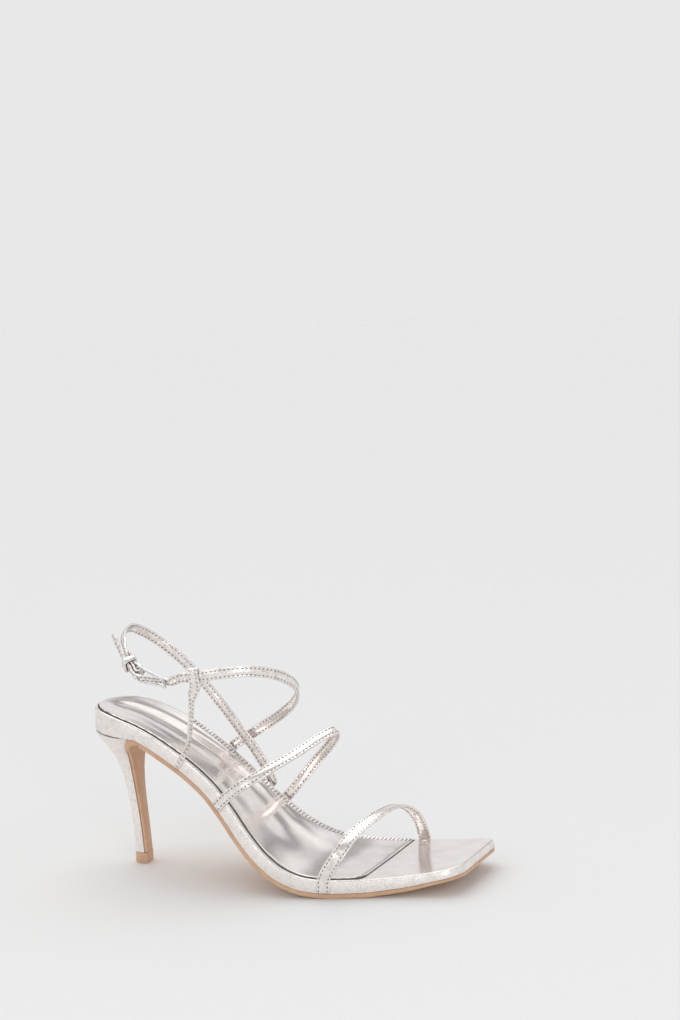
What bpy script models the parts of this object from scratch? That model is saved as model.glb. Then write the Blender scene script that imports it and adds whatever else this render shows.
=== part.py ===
"""Strappy heeled sandal, right shoe, standing empty on its heel tip and forefoot.

Metres, +Z up. The origin is the centre of the heel tip's flat underside. +X runs to the toe and +Y to the
inner (medial) side of the foot, so the buckle sits on the -Y side.
"""

import math
from collections import namedtuple

import bmesh
import bpy
from mathutils import Matrix, Vector

MM = 0.001

# Sole
SOLE_LENGTH = 218.5 * MM  # along the floor, from the back of the heel seat to the toe
BALL_WIDTH = 79 * MM
HEEL_HEIGHT = 93 * MM  # floor to the top edge of the heel seat, at its back
TOE_SPRING = 5.6 * MM
INSOLE_THICKNESS = 7.4 * MM
SEAT_WALL = 12.5 * MM  # depth of the wrapped wall at the back of the heel
OUTSOLE_THICKNESS = 2.6 * MM
OUTSOLE_INSET = 0.8 * MM
OUTSOLE_CHAMFER = 0.35 * MM
INSOLE_CHAMFER = 0.5 * MM
HEEL_ROUND = 27 * MM
TOE_CORNER = 9 * MM
END_START = 0.25 * MM  # how far into its roundings the sole begins, so that it ends in a face
LIP_WIDTH = 2.0 * MM
SOCK_TIP = 0.5 * MM  # half the sock's width at the very back of the heel
LIP_DROP = 1.2 * MM
SOCK_RECESS = 1.0 * MM
BED_DISH = 1.2 * MM
DISH_FADE = (0.35, 0.65)  # stations between which the dish grows shallow
DISH_RUN = 20 * MM  # from the heel to its full depth
SOCK_THICKNESS = 1.2 * MM
SOCK_FRONT = 0.777  # station of the sock's slanted front edge

# Heel
HEEL_SETBACK = 23.6 * MM  # heel tip's centre to the back of the heel seat
TIP_LENGTH = 8.7 * MM
TIP_WIDTH = 9.6 * MM
TIP_HEIGHT = 6.2 * MM
BREAST_HOLLOW = 4.4 * MM
BREAST_SHEET = 1.6 * MM
ARCH_RADIUS = 8 * MM
ARCH_SWEEP = 76  # degrees of the arch that the heel follows
HEEL_INSET = 0.2 * MM  # of the heel from the toplift and the seat
HEEL_BACK_INSET = 0.6 * MM
SHEET_INSET = 0.3 * MM  # of the sheet from the sides of the heel's breast

# Straps
STRAP_WIDTH = 6.0 * MM
TOE_STRAP_WIDTH = 7.0 * MM
STRAP_THICKNESS = 1.4 * MM
STRAP_EDGE = 0.35 * MM
STRAP_HEIGHT = 130 * MM  # floor to the back strap behind the ankle
STRAP_LEAN = 0.037  # how far the straps lean forward as they rise
LEAN_CENTRE = 0.79  # station of the ball, about which they lean
STRAP_STEP = 4.5 * MM  # spacing of a strap's sections
TUCK = 8 * MM  # length of a strap end under the insole
TUCK_BEND = 0.65 * MM  # inner radius of its bend round the wall's foot
SIDE_PINCH = 0.62  # share of its width to which the side strap is drawn in at the sole
FOLD_STITCH = 3 * MM
FOLD_CLOSE = 3.5 * MM  # the run in which a fold's legs close behind its core
FOLD_FADE = 9 * MM  # the run in which the strap comes back to its middle line
SIDE_FOLD = 10.5 * MM
BACK_FOLD = 14 * MM

# Buckle
BUCKLE_LENGTH = 18.6 * MM
BUCKLE_WIDTH = 10.8 * MM
BUCKLE_WIRE = 1.6 * MM
BUCKLE_CORNER = 1.6 * MM
BUCKLE_LEAN = 46  # degrees that its outer face looks down
BUCKLE_LIFT = 2.6 * MM  # how far the outer bar stands off the hinge bar's line
PRONG_WIRE = 1.1 * MM
PRONG_STAND = 1.9 * MM  # from the hinge bar to where the prong comes through the strap
PRONG_BOW = 0.4 * MM  # how far it bows outwards on its way
PRONG_END = 1.2 * MM  # past the outer bar's middle
KEEPER_PLACE = 7.5 * MM  # from the buckle's hinge bar
KEEPER_WIDTH = 3.4 * MM
KEEPER_SLACK = 0.4 * MM
KEEPER_EDGE = 0.3 * MM  # its inner corners' round
KEEPER_WALL = 1.0 * MM
HOLE_DIAMETER = 1.5 * MM
HOLE_PITCH = 4.4 * MM
SPARE_HOLES = 3

GAP = 0.3 * MM
HINGE_CORE = BUCKLE_WIRE / 2 + GAP  # what the back strap folds round
STACK = STRAP_THICKNESS + 2 * GAP  # between the middles of two straps that lie on each other

Row = namedtuple("Row", "station lateral medial skew rise spring thin")
Point = namedtuple("Point", "along across height turn tilt")
HeelRow = namedtuple("HeelRow", "front level back half")

# Stations run from the heel (0) to the toe (1) as shares of SOLE_LENGTH. Half widths are shares of BALL_WIDTH
# before the ends are rounded. The skew leans a station forward on its medial side. The rise is the share of
# the heel's height, the spring the share of TOE_SPRING and thin the share of the sole's full thickness.
SOLE = (
    Row(0.00, 0.315, 0.322, 0.000, 1.000, 0.00, 1.00),
    Row(0.06, 0.322, 0.326, 0.000, 0.982, 0.00, 1.00),
    Row(0.125, 0.336, 0.327, 0.000, 0.940, 0.00, 1.00),
    Row(0.19, 0.350, 0.320, 0.015, 0.872, 0.00, 1.00),
    Row(0.25, 0.365, 0.302, 0.030, 0.787, 0.00, 1.00),
    Row(0.31, 0.382, 0.272, 0.040, 0.690, 0.00, 1.00),
    Row(0.375, 0.410, 0.245, 0.052, 0.559, 0.00, 1.00),
    Row(0.43, 0.457, 0.254, 0.064, 0.416, 0.00, 1.00),
    Row(0.48, 0.512, 0.300, 0.076, 0.278, 0.00, 1.00),
    Row(0.53, 0.549, 0.355, 0.088, 0.154, 0.00, 1.00),
    Row(0.58, 0.566, 0.401, 0.100, 0.068, 0.00, 1.00),
    Row(0.625, 0.563, 0.436, 0.115, 0.024, 0.00, 1.00),
    Row(0.66, 0.549, 0.456, 0.130, 0.008, 0.00, 1.00),
    Row(0.70, 0.527, 0.466, 0.145, 0.000, 0.00, 1.00),
    Row(0.775, 0.475, 0.472, 0.170, 0.000, 0.00, 0.98),
    Row(0.82, 0.441, 0.472, 0.176, 0.000, 0.10, 0.92),
    Row(0.88, 0.393, 0.464, 0.178, 0.000, 0.29, 0.83),
    Row(0.94, 0.341, 0.448, 0.178, 0.000, 0.58, 0.68),
    Row(1.00, 0.297, 0.428, 0.178, 0.000, 1.00, 0.60),
)

FLAT_START, FLAT_END = 0.70, 0.775  # stations between which the sole lies flat on the floor

# Each row blends from the heel tip (0) to the heel seat (1). The front climbs the breast, from 0 at the tip
# to 1 where the breast meets the arch, and on round the arch to 2.
HEEL = (
    HeelRow(0.00, 0.00, 0.00, 0.000),
    HeelRow(0.27, 0.20, 0.05, 0.012),
    HeelRow(0.45, 0.35, 0.10, 0.030),
    HeelRow(0.63, 0.49, 0.18, 0.075),
    HeelRow(0.79, 0.62, 0.29, 0.150),
    HeelRow(0.92, 0.73, 0.42, 0.270),
    HeelRow(1.05, 0.81, 0.56, 0.430),
    HeelRow(1.40, 0.88, 0.71, 0.620),
    HeelRow(1.70, 0.94, 0.86, 0.820),
    HeelRow(2.00, 1.00, 0.97, 0.980),
)

# Breast of the heel: level from the heel tip (0) to the arch (1), and the share of BREAST_HOLLOW there.
BREAST = ((0.00, 0.00), (0.27, 0.28), (0.45, 0.54), (0.63, 0.78), (0.82, 0.96), (1.00, 1.00))

# Strap routes. Along is the share of SOLE_LENGTH from the back of the heel, across the share of BALL_WIDTH,
# height the share of STRAP_HEIGHT. Turn and tilt, in degrees, say where the strap's outer face looks: turn 0
# is the toe and 90 the medial side, tilt 90 is straight up.
TOE_ROUTE = (
    Point(0.702, -0.540, 0.192, -90, 15),
    Point(0.726, -0.435, 0.254, -90, 42),
    Point(0.749, -0.270, 0.287, -88, 64),
    Point(0.773, -0.070, 0.302, -80, 84),
    Point(0.793, 0.115, 0.293, 88, 72),
    Point(0.810, 0.265, 0.252, 90, 46),
    Point(0.822, 0.385, 0.188, 90, 22),
)
INSTEP_ROUTE = (
    Point(0.448, -0.470, 0.430, -95, 18),
    Point(0.500, -0.405, 0.487, -92, 38),
    Point(0.556, -0.235, 0.540, -75, 58),
    Point(0.604, -0.050, 0.592, -40, 62),
    Point(0.630, 0.085, 0.606, 20, 50),
    Point(0.606, 0.215, 0.530, 65, 32),
    Point(0.560, 0.290, 0.432, 85, 16),
    Point(0.520, 0.320, 0.345, 90, 8),
)
ANKLE_ROUTE = (
    Point(0.398, 0.285, 0.545, 88, 6),
    Point(0.480, 0.222, 0.650, 55, 8),
    Point(0.526, 0.105, 0.738, 20, 8),
    Point(0.538, -0.045, 0.812, -8, 6),
    Point(0.514, -0.205, 0.872, -42, 4),
    Point(0.460, -0.350, 0.902, -72, 2),
    Point(0.395, -0.430, 0.896, -87, 0),
    Point(0.325, -0.446, 0.874, -90, -8),
    Point(0.285, -0.446, 0.865, -92, -24),
)
LOOP_ROW = 7  # row of ANKLE_ROUTE at which the side strap's loop holds the ankle strap
SIDE_ROUTE = (
    Point(0.318, -0.437, 0.787, -76, 0),
    Point(0.311, -0.419, 0.681, -42, 2),
    Point(0.304, -0.403, 0.586, -20, 6),
)
BUCKLE_FRONT = Point(0.250, -0.442, 0.848, 176, 16)
BACK_ROUTE = (
    Point(0.152, -0.384, 0.906, -138, -18),
    Point(0.132, -0.329, 0.946, -148, -4),
    Point(0.112, -0.253, 0.973, -155, 12),
    Point(0.096, -0.158, 0.991, -164, 26),
    Point(0.086, -0.044, 1.002, -176, 34),
    Point(0.084, 0.105, 0.994, 156, 30),
    Point(0.110, 0.225, 0.952, 122, 16),
    Point(0.155, 0.300, 0.885, 104, 6),
    Point(0.215, 0.322, 0.795, 94, 2),
    Point(0.285, 0.300, 0.677, 90, 4),
    Point(0.352, 0.236, 0.566, 84, 8),
    Point(0.404, 0.236, 0.454, 86, 6),
)
TAIL_ROUTE = (
    Point(0.113, -0.385, 0.990, -138, -12),
    Point(0.099, -0.372, 1.020, -134, -12),
)

# Stations of the strap ends on the insole's edge
TOE_ENDS = (0.688, 0.800)
INSTEP_ENDS = (0.408, 0.470)
ANKLE_END = 0.330
SIDE_END = 0.288
BACK_END = 0.432


def clear_scene():
    for obj in list(bpy.data.objects):
        bpy.data.objects.remove(obj)


def collection(name):
    made = bpy.data.collections.new(name)
    bpy.context.scene.collection.children.link(made)
    return made


def material(name, color, roughness, metallic):
    made = bpy.data.materials.new(name)
    made.use_nodes = True
    shader = made.node_tree.nodes["Principled BSDF"]
    shader.inputs["Base Color"].default_value = (*color, 1)
    shader.inputs["Roughness"].default_value = roughness
    shader.inputs["Metallic"].default_value = metallic
    return made


def add_object(name, bm, where, finish):
    """The object of this bmesh, its faces turned outwards and shaded smooth between soft edges."""
    bmesh.ops.recalc_face_normals(bm, faces=bm.faces)
    if bm.calc_volume(signed=True) < 0:
        bmesh.ops.reverse_faces(bm, faces=bm.faces)
    mesh = bpy.data.meshes.new(name)
    bm.to_mesh(mesh)
    bm.free()
    mesh.shade_smooth()
    mesh.set_sharp_from_angle(angle=math.radians(40))
    if finish:
        mesh.materials.append(finish)
    obj = bpy.data.objects.new(name, mesh)
    where.objects.link(obj)
    return obj


def loft(rings, ring_shaped=False):
    """A closed body through rings of equally many points: capped on each end, or joined end to end."""
    bm = bmesh.new()
    loops = [[bm.verts.new(point) for point in ring] for ring in rings]
    seconds = loops[1:] + loops[:1] if ring_shaped else loops[1:]
    for first, second in zip(loops, seconds):
        for i, corner in enumerate(first):
            bm.faces.new((first[i - 1], corner, second[i], second[i - 1]))
    if not ring_shaped:
        bm.faces.new(loops[0])
        bm.faces.new(reversed(loops[-1]))
    return bm


def cut(obj, cutter, operation="DIFFERENCE"):
    modifier = obj.modifiers.new(cutter.name, "BOOLEAN")
    modifier.operation = operation
    modifier.object = cutter
    cutter.hide_render = True
    cutter.display_type = "WIRE"


def block(name, centre, first, second, size):
    """A box cutter whose sides follow two square directions and the one across them."""
    bm = bmesh.new()
    bmesh.ops.create_cube(bm, size=1)
    turn = Matrix((first, second, first.cross(second))).transposed().to_4x4()
    bm.transform(Matrix.Translation(centre) @ turn @ Matrix.Diagonal((*size, 1)))
    return add_object(name, bm, CUTTERS, None)


def ease(share):
    share = min(1.0, max(0.0, share))
    return share * share * (3 - 2 * share)


def blend(a, b, share):
    return a + (b - a) * share


def monotone(table, at):
    """A smooth value from (place, value) rows that never overshoots them."""
    steps = [(b[0] - a[0], (b[1] - a[1]) / (b[0] - a[0])) for a, b in zip(table, table[1:])]
    slopes = [steps[0][1]]
    for (run, slope), (next_run, next_slope) in zip(steps, steps[1:]):
        if slope * next_slope <= 0:
            slopes.append(0.0)
            continue
        first = 2 * next_run + run
        second = next_run + 2 * run
        slopes.append((first + second) / (first / slope + second / next_slope))
    slopes.append(steps[-1][1])
    last = len(table) - 2
    i = next((k for k in range(last + 1) if at <= table[k + 1][0]), last)
    run = steps[i][0]
    share = min(1.0, max(0.0, (at - table[i][0]) / run))
    low = table[i][1] + run * slopes[i] * share * (1 - share) ** 2
    high = table[i + 1][1] - run * slopes[i + 1] * share**2 * (1 - share)
    weight = share * share * (3 - 2 * share)
    bump = (table[i + 1][1] - table[i][1]) * weight + table[i][1]
    return bump + (low - table[i][1]) + (high - table[i + 1][1])


def sole_value(column, station):
    return monotone([(row.station, getattr(row, column)) for row in SOLE], station)


TREAD_HEIGHT = INSOLE_THICKNESS + GAP + OUTSOLE_THICKNESS
HEEL_BACK = -HEEL_SETBACK


def rim(station):
    """The insole's top line in side view, as (x, z)."""
    rise = sole_value("rise", station) * (HEEL_HEIGHT - TREAD_HEIGHT)
    spring = sole_value("spring", station) * TOE_SPRING
    return Vector((HEEL_BACK + station * SOLE_LENGTH, TREAD_HEIGHT + rise + spring))


def rim_up(station):
    """The direction square to the rim line, upwards, in side view."""
    step = 0.004
    run = rim(min(1, station + step)) - rim(max(0, station - step))
    return Vector((-run.y, run.x)).normalized()


def waist_underside(station):
    return rim(station) - sole_value("thin", station) * INSOLE_THICKNESS * rim_up(station)


def sheet_thickness(station):
    return sole_value("thin", station) * OUTSOLE_THICKNESS


def outsole_underside(station):
    return waist_underside(station) - (GAP + sheet_thickness(station)) * rim_up(station)


def breast_x(level):
    """The outer face of the sheet down the heel's breast."""
    return TIP_LENGTH / 2 - BREAST_HOLLOW * monotone(BREAST, level)


def find_arch_station():
    """The station at which the arch's round, run on from the waist, is tangent to the breast."""
    low, high = 0.02, 0.45
    for _ in range(40):
        middle = (low + high) / 2
        centre = outsole_underside(middle) - ARCH_RADIUS * rim_up(middle)
        if centre.x - ARCH_RADIUS > breast_x(1):
            high = middle
        else:
            low = middle
    return (low + high) / 2


ARCH_STATION = find_arch_station()
ARCH_CENTRE = outsole_underside(ARCH_STATION) - ARCH_RADIUS * rim_up(ARCH_STATION)
SEAT_FRONT = ARCH_STATION - ARCH_RADIUS / 2 / SOLE_LENGTH


def underside(station):
    """The insole's lower line: square to the rim in the waist, and one flat plane over the heel."""
    if station >= SEAT_FRONT:
        return waist_underside(station)
    back = rim(0) - Vector((0, SEAT_WALL))
    return back.lerp(waist_underside(SEAT_FRONT), station / SEAT_FRONT)


def seat_z(x):
    """The height of the heel seat's plane at x."""
    back = underside(0)
    front = underside(SEAT_FRONT)
    return blend(back.y, front.y, (x - back.x) / (front.x - back.x))


def half_width(side, station):
    """Half the sole's width on one side, rounded at the heel and at the toe's corners."""
    column = "medial" if side > 0 else "lateral"
    width = sole_value(column, station) * BALL_WIDTH
    from_heel = station * SOLE_LENGTH + END_START
    if from_heel < HEEL_ROUND:
        width *= math.sqrt(1 - (1 - from_heel / HEEL_ROUND) ** 2)
    from_toe = (1 - station) * SOLE_LENGTH + END_START
    if from_toe < TOE_CORNER:
        width -= TOE_CORNER - math.sqrt(TOE_CORNER**2 - (TOE_CORNER - from_toe) ** 2)
    return width


def place(line, y, skew):
    """A point of a side view line, moved across the shoe."""
    return Vector((line.x + y * skew, y, line.y))


def lip(inset, recess):
    """How far the insole's top lies below the rim line, from its edge inwards."""
    rows = (
        (0.0, LIP_DROP),
        (0.2 * LIP_WIDTH, 0.3 * LIP_DROP),
        (0.5 * LIP_WIDTH, 0.0),
        (0.75 * LIP_WIDTH, 0.2 * recess),
        (LIP_WIDTH, recess),
    )
    if inset >= LIP_WIDTH:
        return recess
    a, b = next(pair for pair in zip(rows, rows[1:]) if inset <= pair[1][0])
    return blend(a[1], b[1], (inset - a[0]) / (b[0] - a[0]))


def bed_dish(station):
    """The dish across the footbed, deep in the heel and waist and flat at the toe."""
    first, last = DISH_FADE
    return BED_DISH * (1 - 0.75 * ease((station - first) / (last - first)))


def recess_at(station):
    return SOCK_RECESS if station < SOCK_FRONT + 0.003 else 0.05 * SOCK_RECESS


def end_stations(step_list):
    return [step * MM / SOLE_LENGTH for step in step_list]


def sole_stations(heel_steps, toe_steps, between):
    low = end_stations(heel_steps)
    high = [1 - share for share in reversed(end_stations(toe_steps))]
    inner = [blend(low[-1], high[0], i / between) for i in range(1, between)]
    return low + inner + high


def insole():
    edge_steps = (0.0, 0.4, 1.0, 1.5, 2.0, 4.0, 7.5, 12.5, 19.0)
    toe_steps = (0.0, 0.4, 1.0, 2.0, 4.5, 8.0)
    stations = sole_stations(edge_steps, toe_steps, 25)
    stations += [SOCK_FRONT + 0.002, SOCK_FRONT + 0.006, SEAT_FRONT]
    insets = (0.0, 0.2, 0.5, 0.75, 1.0)
    rings = []
    for station in sorted(stations):
        top, bottom, up = rim(station), underside(station), rim_up(station)
        skew = sole_value("skew", station)
        from_end = min(station, 1 - station) * SOLE_LENGTH
        recess = recess_at(station)
        halves = {side: half_width(side, station) for side in (-1, 1)}
        ring = []
        for side in (-1, 1):
            half = halves[side]
            reach = [min(inset * LIP_WIDTH, half * (0.1 + 0.8 * inset)) if inset else 0.0 for inset in insets]
            line = []
            for inset in reach:
                depth = lip(min(inset, from_end), recess)
                line.append(place(top - depth * up, side * (half - inset), skew))
            middle = centre_point(station, top, up, skew, recess, from_end)
            ring += line if side < 0 else [middle] + line[::-1]
        for side in (1, -1):
            half = halves[side]
            chamfer = min(INSOLE_CHAMFER, 0.2 * half)
            wall = bottom.lerp(top, 0.08)
            low = [place(wall, side * half, skew), place(bottom, side * (half - chamfer), skew)]
            ring += low if side > 0 else low[::-1]
        rings.append(ring)
    obj = add_object("insole", loft(rings), PARTS, SILVER)
    for name, station, side, width in ANCHORS:
        cut(obj, pocket(name, station, side, width))
    return obj


def centre_point(station, top, up, skew, recess, from_end):
    depth = lip(from_end, recess) + bed_dish(station) * ease(from_end / DISH_RUN)
    return place(top - depth * up, 0, skew)


def sock_half(side, station):
    """Half the sock's width: its edge runs parallel to the sole's, round the heel too."""
    inset = LIP_WIDTH + GAP
    full = half_width(side, station)
    back = station * SOLE_LENGTH
    if back >= full:
        return full - inset
    radius = (full**2 + back**2) / (2 * back)
    square = (radius - inset) ** 2 - (radius - back) ** 2
    return max(SOCK_TIP, math.sqrt(max(0.0, square)))


def sock():
    """The padded sheet that covers the insole to its slanted front edge."""
    first = (LIP_WIDTH + GAP) / SOLE_LENGTH
    last = SOCK_FRONT
    count = 26
    rounds = [first + share * MM / SOLE_LENGTH for share in (0.0, 0.7, 2.5, 6.0, 11.0)]
    stations = rounds + [blend(rounds[-1], last, i / count) for i in range(1, count)]
    stations += [last - 0.8 * MM / SOLE_LENGTH, last]
    rings = []
    for station in sorted(stations):
        top, up = rim(station), rim_up(station)
        skew = sole_value("skew", station)
        from_end = min(station - first, last - station) * SOLE_LENGTH
        thin = 0.55 + 0.45 * ease(from_end / (1.5 * MM))
        base = SOCK_RECESS - GAP
        ring = []
        for across in (-1, -0.94, -0.5, 0, 0.5, 0.94, 1):
            half = sock_half(1 if across > 0 else -1, station)
            sag = bed_dish(station) * ease(station * SOLE_LENGTH / DISH_RUN) * (1 - abs(across))
            rise = SOCK_THICKNESS * thin * (0.5 if abs(across) == 1 else 1) - base - sag
            ring.append(place(top + rise * up, across * half, skew))
        for across in (1, 0.5, 0, -0.5, -1):
            half = sock_half(1 if across > 0 else -1, station)
            sag = bed_dish(station) * ease(station * SOLE_LENGTH / DISH_RUN) * (1 - abs(across))
            ring.append(place(top - (base + sag) * up, across * half, skew))
        rings.append(ring)
    return add_object("sock", loft(rings), PARTS, LINING)


def heel_front(climb, gap):
    """The line down the back of the outsole's sheet, less a gap: 0 is the tip, 1 the arch and 2 round it."""
    z = blend(TIP_HEIGHT + GAP, ARCH_CENTRE.y, min(climb, 1))
    if climb <= 1:
        return Vector((breast_x(climb) - BREAST_SHEET - gap, z))
    turn = math.radians(ARCH_SWEEP) * (climb - 1)
    radius = ARCH_RADIUS + blend(BREAST_SHEET, OUTSOLE_THICKNESS, climb - 1) + gap
    return ARCH_CENTRE + radius * Vector((-math.cos(turn), math.sin(turn)))


def seat_half():
    return half_width(-1, 0.13) - HEEL_INSET


def heel():
    foot = TIP_HEIGHT + GAP
    top_back = HEEL_BACK + HEEL_BACK_INSET
    rings = []
    for row in HEEL:
        front = heel_front(row.front, GAP)
        back_x = blend(-TIP_LENGTH / 2 + HEEL_INSET, top_back, row.back)
        back_z = blend(foot, seat_z(top_back) - GAP, row.level)
        if row.front == 2:
            front.y = seat_z(front.x) - GAP
        half = blend(TIP_WIDTH / 2 - HEEL_INSET, seat_half(), row.half)
        middle = blend(front.x, back_x, 0.35)
        ring = []
        for degrees in range(-90, 91, 15):
            angle = math.radians(degrees)
            x = middle + (back_x - middle) * math.cos(angle)
            ring.append((x, half * math.sin(angle)))
        ring += [(blend(middle, front.x, 0.6), half * 0.99), (front.x, half * 0.94)]
        ring += [(front.x, -half * 0.94), (blend(middle, front.x, 0.6), -half * 0.99)]
        slope = (back_z - front.y) / (back_x - front.x)
        rings.append([Vector((x, y, front.y + slope * (x - front.x))) for x, y in ring])
    return add_object("heel", loft(rings), PARTS, SILVER)


def toplift():
    bm = bmesh.new()
    outline = []
    for degrees in range(90, 271, 12):
        angle = math.radians(degrees)
        x = 0.1 * TIP_LENGTH + 0.6 * TIP_LENGTH * math.cos(angle)
        outline.append((x, TIP_WIDTH / 2 * math.sin(angle)))
    outline += [(0.5 * TIP_LENGTH, -0.47 * TIP_WIDTH), (0.5 * TIP_LENGTH, 0.47 * TIP_WIDTH)]
    base = bm.faces.new([bm.verts.new((x, y, 0)) for x, y in outline])
    raised = bmesh.ops.extrude_face_region(bm, geom=[base])["geom"]
    lifted = [item for item in raised if isinstance(item, bmesh.types.BMVert)]
    bmesh.ops.translate(bm, verts=lifted, vec=(0, 0, TIP_HEIGHT))
    return add_object("toplift", bm, PARTS, TAN)


def outsole():
    """One sheet: forefoot, waist, round the arch and down the breast of the heel."""
    sections = []
    forefoot = sole_stations((ARCH_STATION * SOLE_LENGTH / MM,), (0.0, 2.0, 5.0, 8.5), 27)
    for station in reversed(sorted(forefoot + [FLAT_START, FLAT_END])):
        outer = outsole_underside(station)
        inner = outer + sheet_thickness(station) * rim_up(station)
        halves = [half_width(side, station) for side in (-1, 1)]
        halves = [half - min(OUTSOLE_INSET, 0.1 * half) for half in halves]
        sections.append((outer, inner, halves, sole_value("skew", station)))
    start = math.atan2(rim_up(ARCH_STATION).y, -rim_up(ARCH_STATION).x)
    waist_halves = sections[-1][2]
    for share in (0.25, 0.5, 0.72, 0.88):
        turn = start * (1 - share)
        way = Vector((-math.cos(turn), math.sin(turn)))
        sheet = blend(OUTSOLE_THICKNESS, BREAST_SHEET, share)
        narrow = heel_half(1 + math.degrees(turn) / ARCH_SWEEP) - SHEET_INSET
        halves = [min(narrow, half) for half in waist_halves]
        outer = ARCH_CENTRE + ARCH_RADIUS * way
        sections.append((outer, outer + sheet * way, halves, 0.0))
    for climb in (1.0, 0.92, 0.79, 0.63, 0.45, 0.27, 0.12, 0.0):
        inner = heel_front(climb, 0)
        outer = inner + Vector((BREAST_SHEET, 0))
        half = heel_half(climb) - SHEET_INSET
        sections.append((outer, inner, [half, half], 0.0))
    rings = []
    for outer, inner, (lateral, medial), skew in sections:
        edge = OUTSOLE_CHAMFER
        ring = [place(outer, -(lateral - edge), skew), place(outer, medial - edge, skew)]
        ring += [place(outer.lerp(inner, 0.25), medial, skew), place(inner, medial, skew)]
        ring += [place(inner, -lateral, skew), place(outer.lerp(inner, 0.25), -lateral, skew)]
        rings.append(ring)
    return add_object("outsole", loft(rings), PARTS, TAN)


def heel_half(climb):
    """Half the width of the heel's breast at this height."""
    share = monotone([(row.front, row.half) for row in HEEL], climb)
    return 0.94 * blend(TIP_WIDTH / 2 - HEEL_INSET, seat_half(), share)


def edge_frame(station, side):
    """The insole's edge: its top point, the directions out, along it and up the wall, and the wall's depth."""
    def top_at(share):
        return place(rim(share), side * half_width(side, share), sole_value("skew", share))

    def low_at(share):
        return place(underside(share), side * half_width(side, share), sole_value("skew", share))

    step = 0.006
    run = (top_at(station + step) - top_at(station - step)).normalized()
    wall = top_at(station) - low_at(station)
    up = wall.normalized()
    out = run.cross(up).normalized()
    if out.y * side < 0:
        out = -out
    return top_at(station), out, run, up, wall.length


ANCHORS = (
    ("pocket_toe_lateral", TOE_ENDS[0], -1, TOE_STRAP_WIDTH),
    ("pocket_toe_medial", TOE_ENDS[1], 1, TOE_STRAP_WIDTH),
    ("pocket_instep_lateral", INSTEP_ENDS[0], -1, STRAP_WIDTH),
    ("pocket_instep_medial", INSTEP_ENDS[1], 1, STRAP_WIDTH),
    ("pocket_ankle", ANKLE_END, 1, STRAP_WIDTH),
    ("pocket_side", SIDE_END, -1, SIDE_PINCH * STRAP_WIDTH),
    ("pocket_back", BACK_END, 1, STRAP_WIDTH),
)


def pocket(name, station, side, width):
    """The room under the insole for one strap end."""
    top, out, run, up, depth = edge_frame(station, side)
    below = 1.5 * MM
    tall = STRAP_THICKNESS + 2 * GAP + below
    inside = TUCK + 0.6 * MM
    outside = 3 * MM
    centre = top - (depth + below - tall / 2) * up + (outside - inside) / 2 * out
    across = up.cross(out)
    return block(name, centre, out, across, (inside + outside, width + 2 * GAP, tall))


def tucked_end(station, side):
    """Centre points and face directions of a strap end, from under the insole and up its wall."""
    top, out, run, up, depth = edge_frame(station, side)
    half = STRAP_THICKNESS / 2
    bend = half + TUCK_BEND
    low = depth - half - GAP / 2
    stand = GAP + half
    points = []
    for inside in (TUCK, TUCK / 2, bend - stand + 0.2 * MM):
        points.append((top - low * up - inside * out, -up))
    for degrees in (-75, -45, -15):
        turn = math.radians(degrees)
        way = math.cos(turn) * out + math.sin(turn) * up
        centre = top - (low - bend) * up + (stand - bend) * out
        points.append((centre + bend * way, way))
    for share in (0.55, 0.25, -0.12):
        points.append((top - share * depth * up + stand * out, out.copy()))
    return points


def free_points(route):
    """World points and face directions of a strap's free rows."""
    made = []
    for row in route:
        turn, tilt = math.radians(row.turn), math.radians(row.tilt)
        height = row.height * STRAP_HEIGHT
        x = HEEL_BACK + row.along * SOLE_LENGTH + STRAP_LEAN * (height - (1 - row.along) * HEEL_HEIGHT)
        z = height + STRAP_LEAN * (LEAN_CENTRE - row.along) * SOLE_LENGTH
        face = Vector((math.cos(tilt) * math.cos(turn), math.cos(tilt) * math.sin(turn), math.sin(tilt)))
        made.append((Vector((x, row.across * BALL_WIDTH, z)), face))
    return made


def through(points, spacing):
    """Even points on a smooth curve through these points, with the face directions eased between them."""
    padded = [points[0]] + list(points) + [points[-1]]
    made = [points[0]]
    for a, b, c, d in zip(padded, padded[1:], padded[2:], padded[3:]):
        runs = [max(0.01 * MM, (q[0] - p[0]).length) ** 0.5 for p, q in ((a, b), (b, c), (c, d))]
        chord = c[0] - b[0]
        start = slope(a[0], b[0], c[0], runs[0], runs[1]) * runs[1] if a is not b else chord
        end = slope(b[0], c[0], d[0], runs[1], runs[2]) * runs[1] if d is not c else chord
        count = max(1, round(chord.length / spacing))
        for i in range(1, count + 1):
            share = i / count
            face = b[1].lerp(c[1], ease(share)).normalized()
            made.append((hermite(b[0], c[0], start, end, share), face))
    return made


def slope(before, at, after, run, next_run):
    return (at - before) / run - (after - before) / (run + next_run) + (after - at) / next_run


def hermite(a, b, start, end, share):
    square, cube = share**2, share**3
    ends = a * (2 * cube - 3 * square + 1) + b * (3 * square - 2 * cube)
    return ends + start * (cube - 2 * square + share) + end * (cube - square)


def frames(line):
    """Each point of a line with its run, its face direction square to that, and the strap's width direction."""
    made = []
    for i, (point, face) in enumerate(line):
        run = (line[min(i + 1, len(line) - 1)][0] - line[max(i - 1, 0)][0]).normalized()
        across = run.cross(face).normalized()
        made.append((point, run, across.cross(run), across))
    return made


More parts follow.
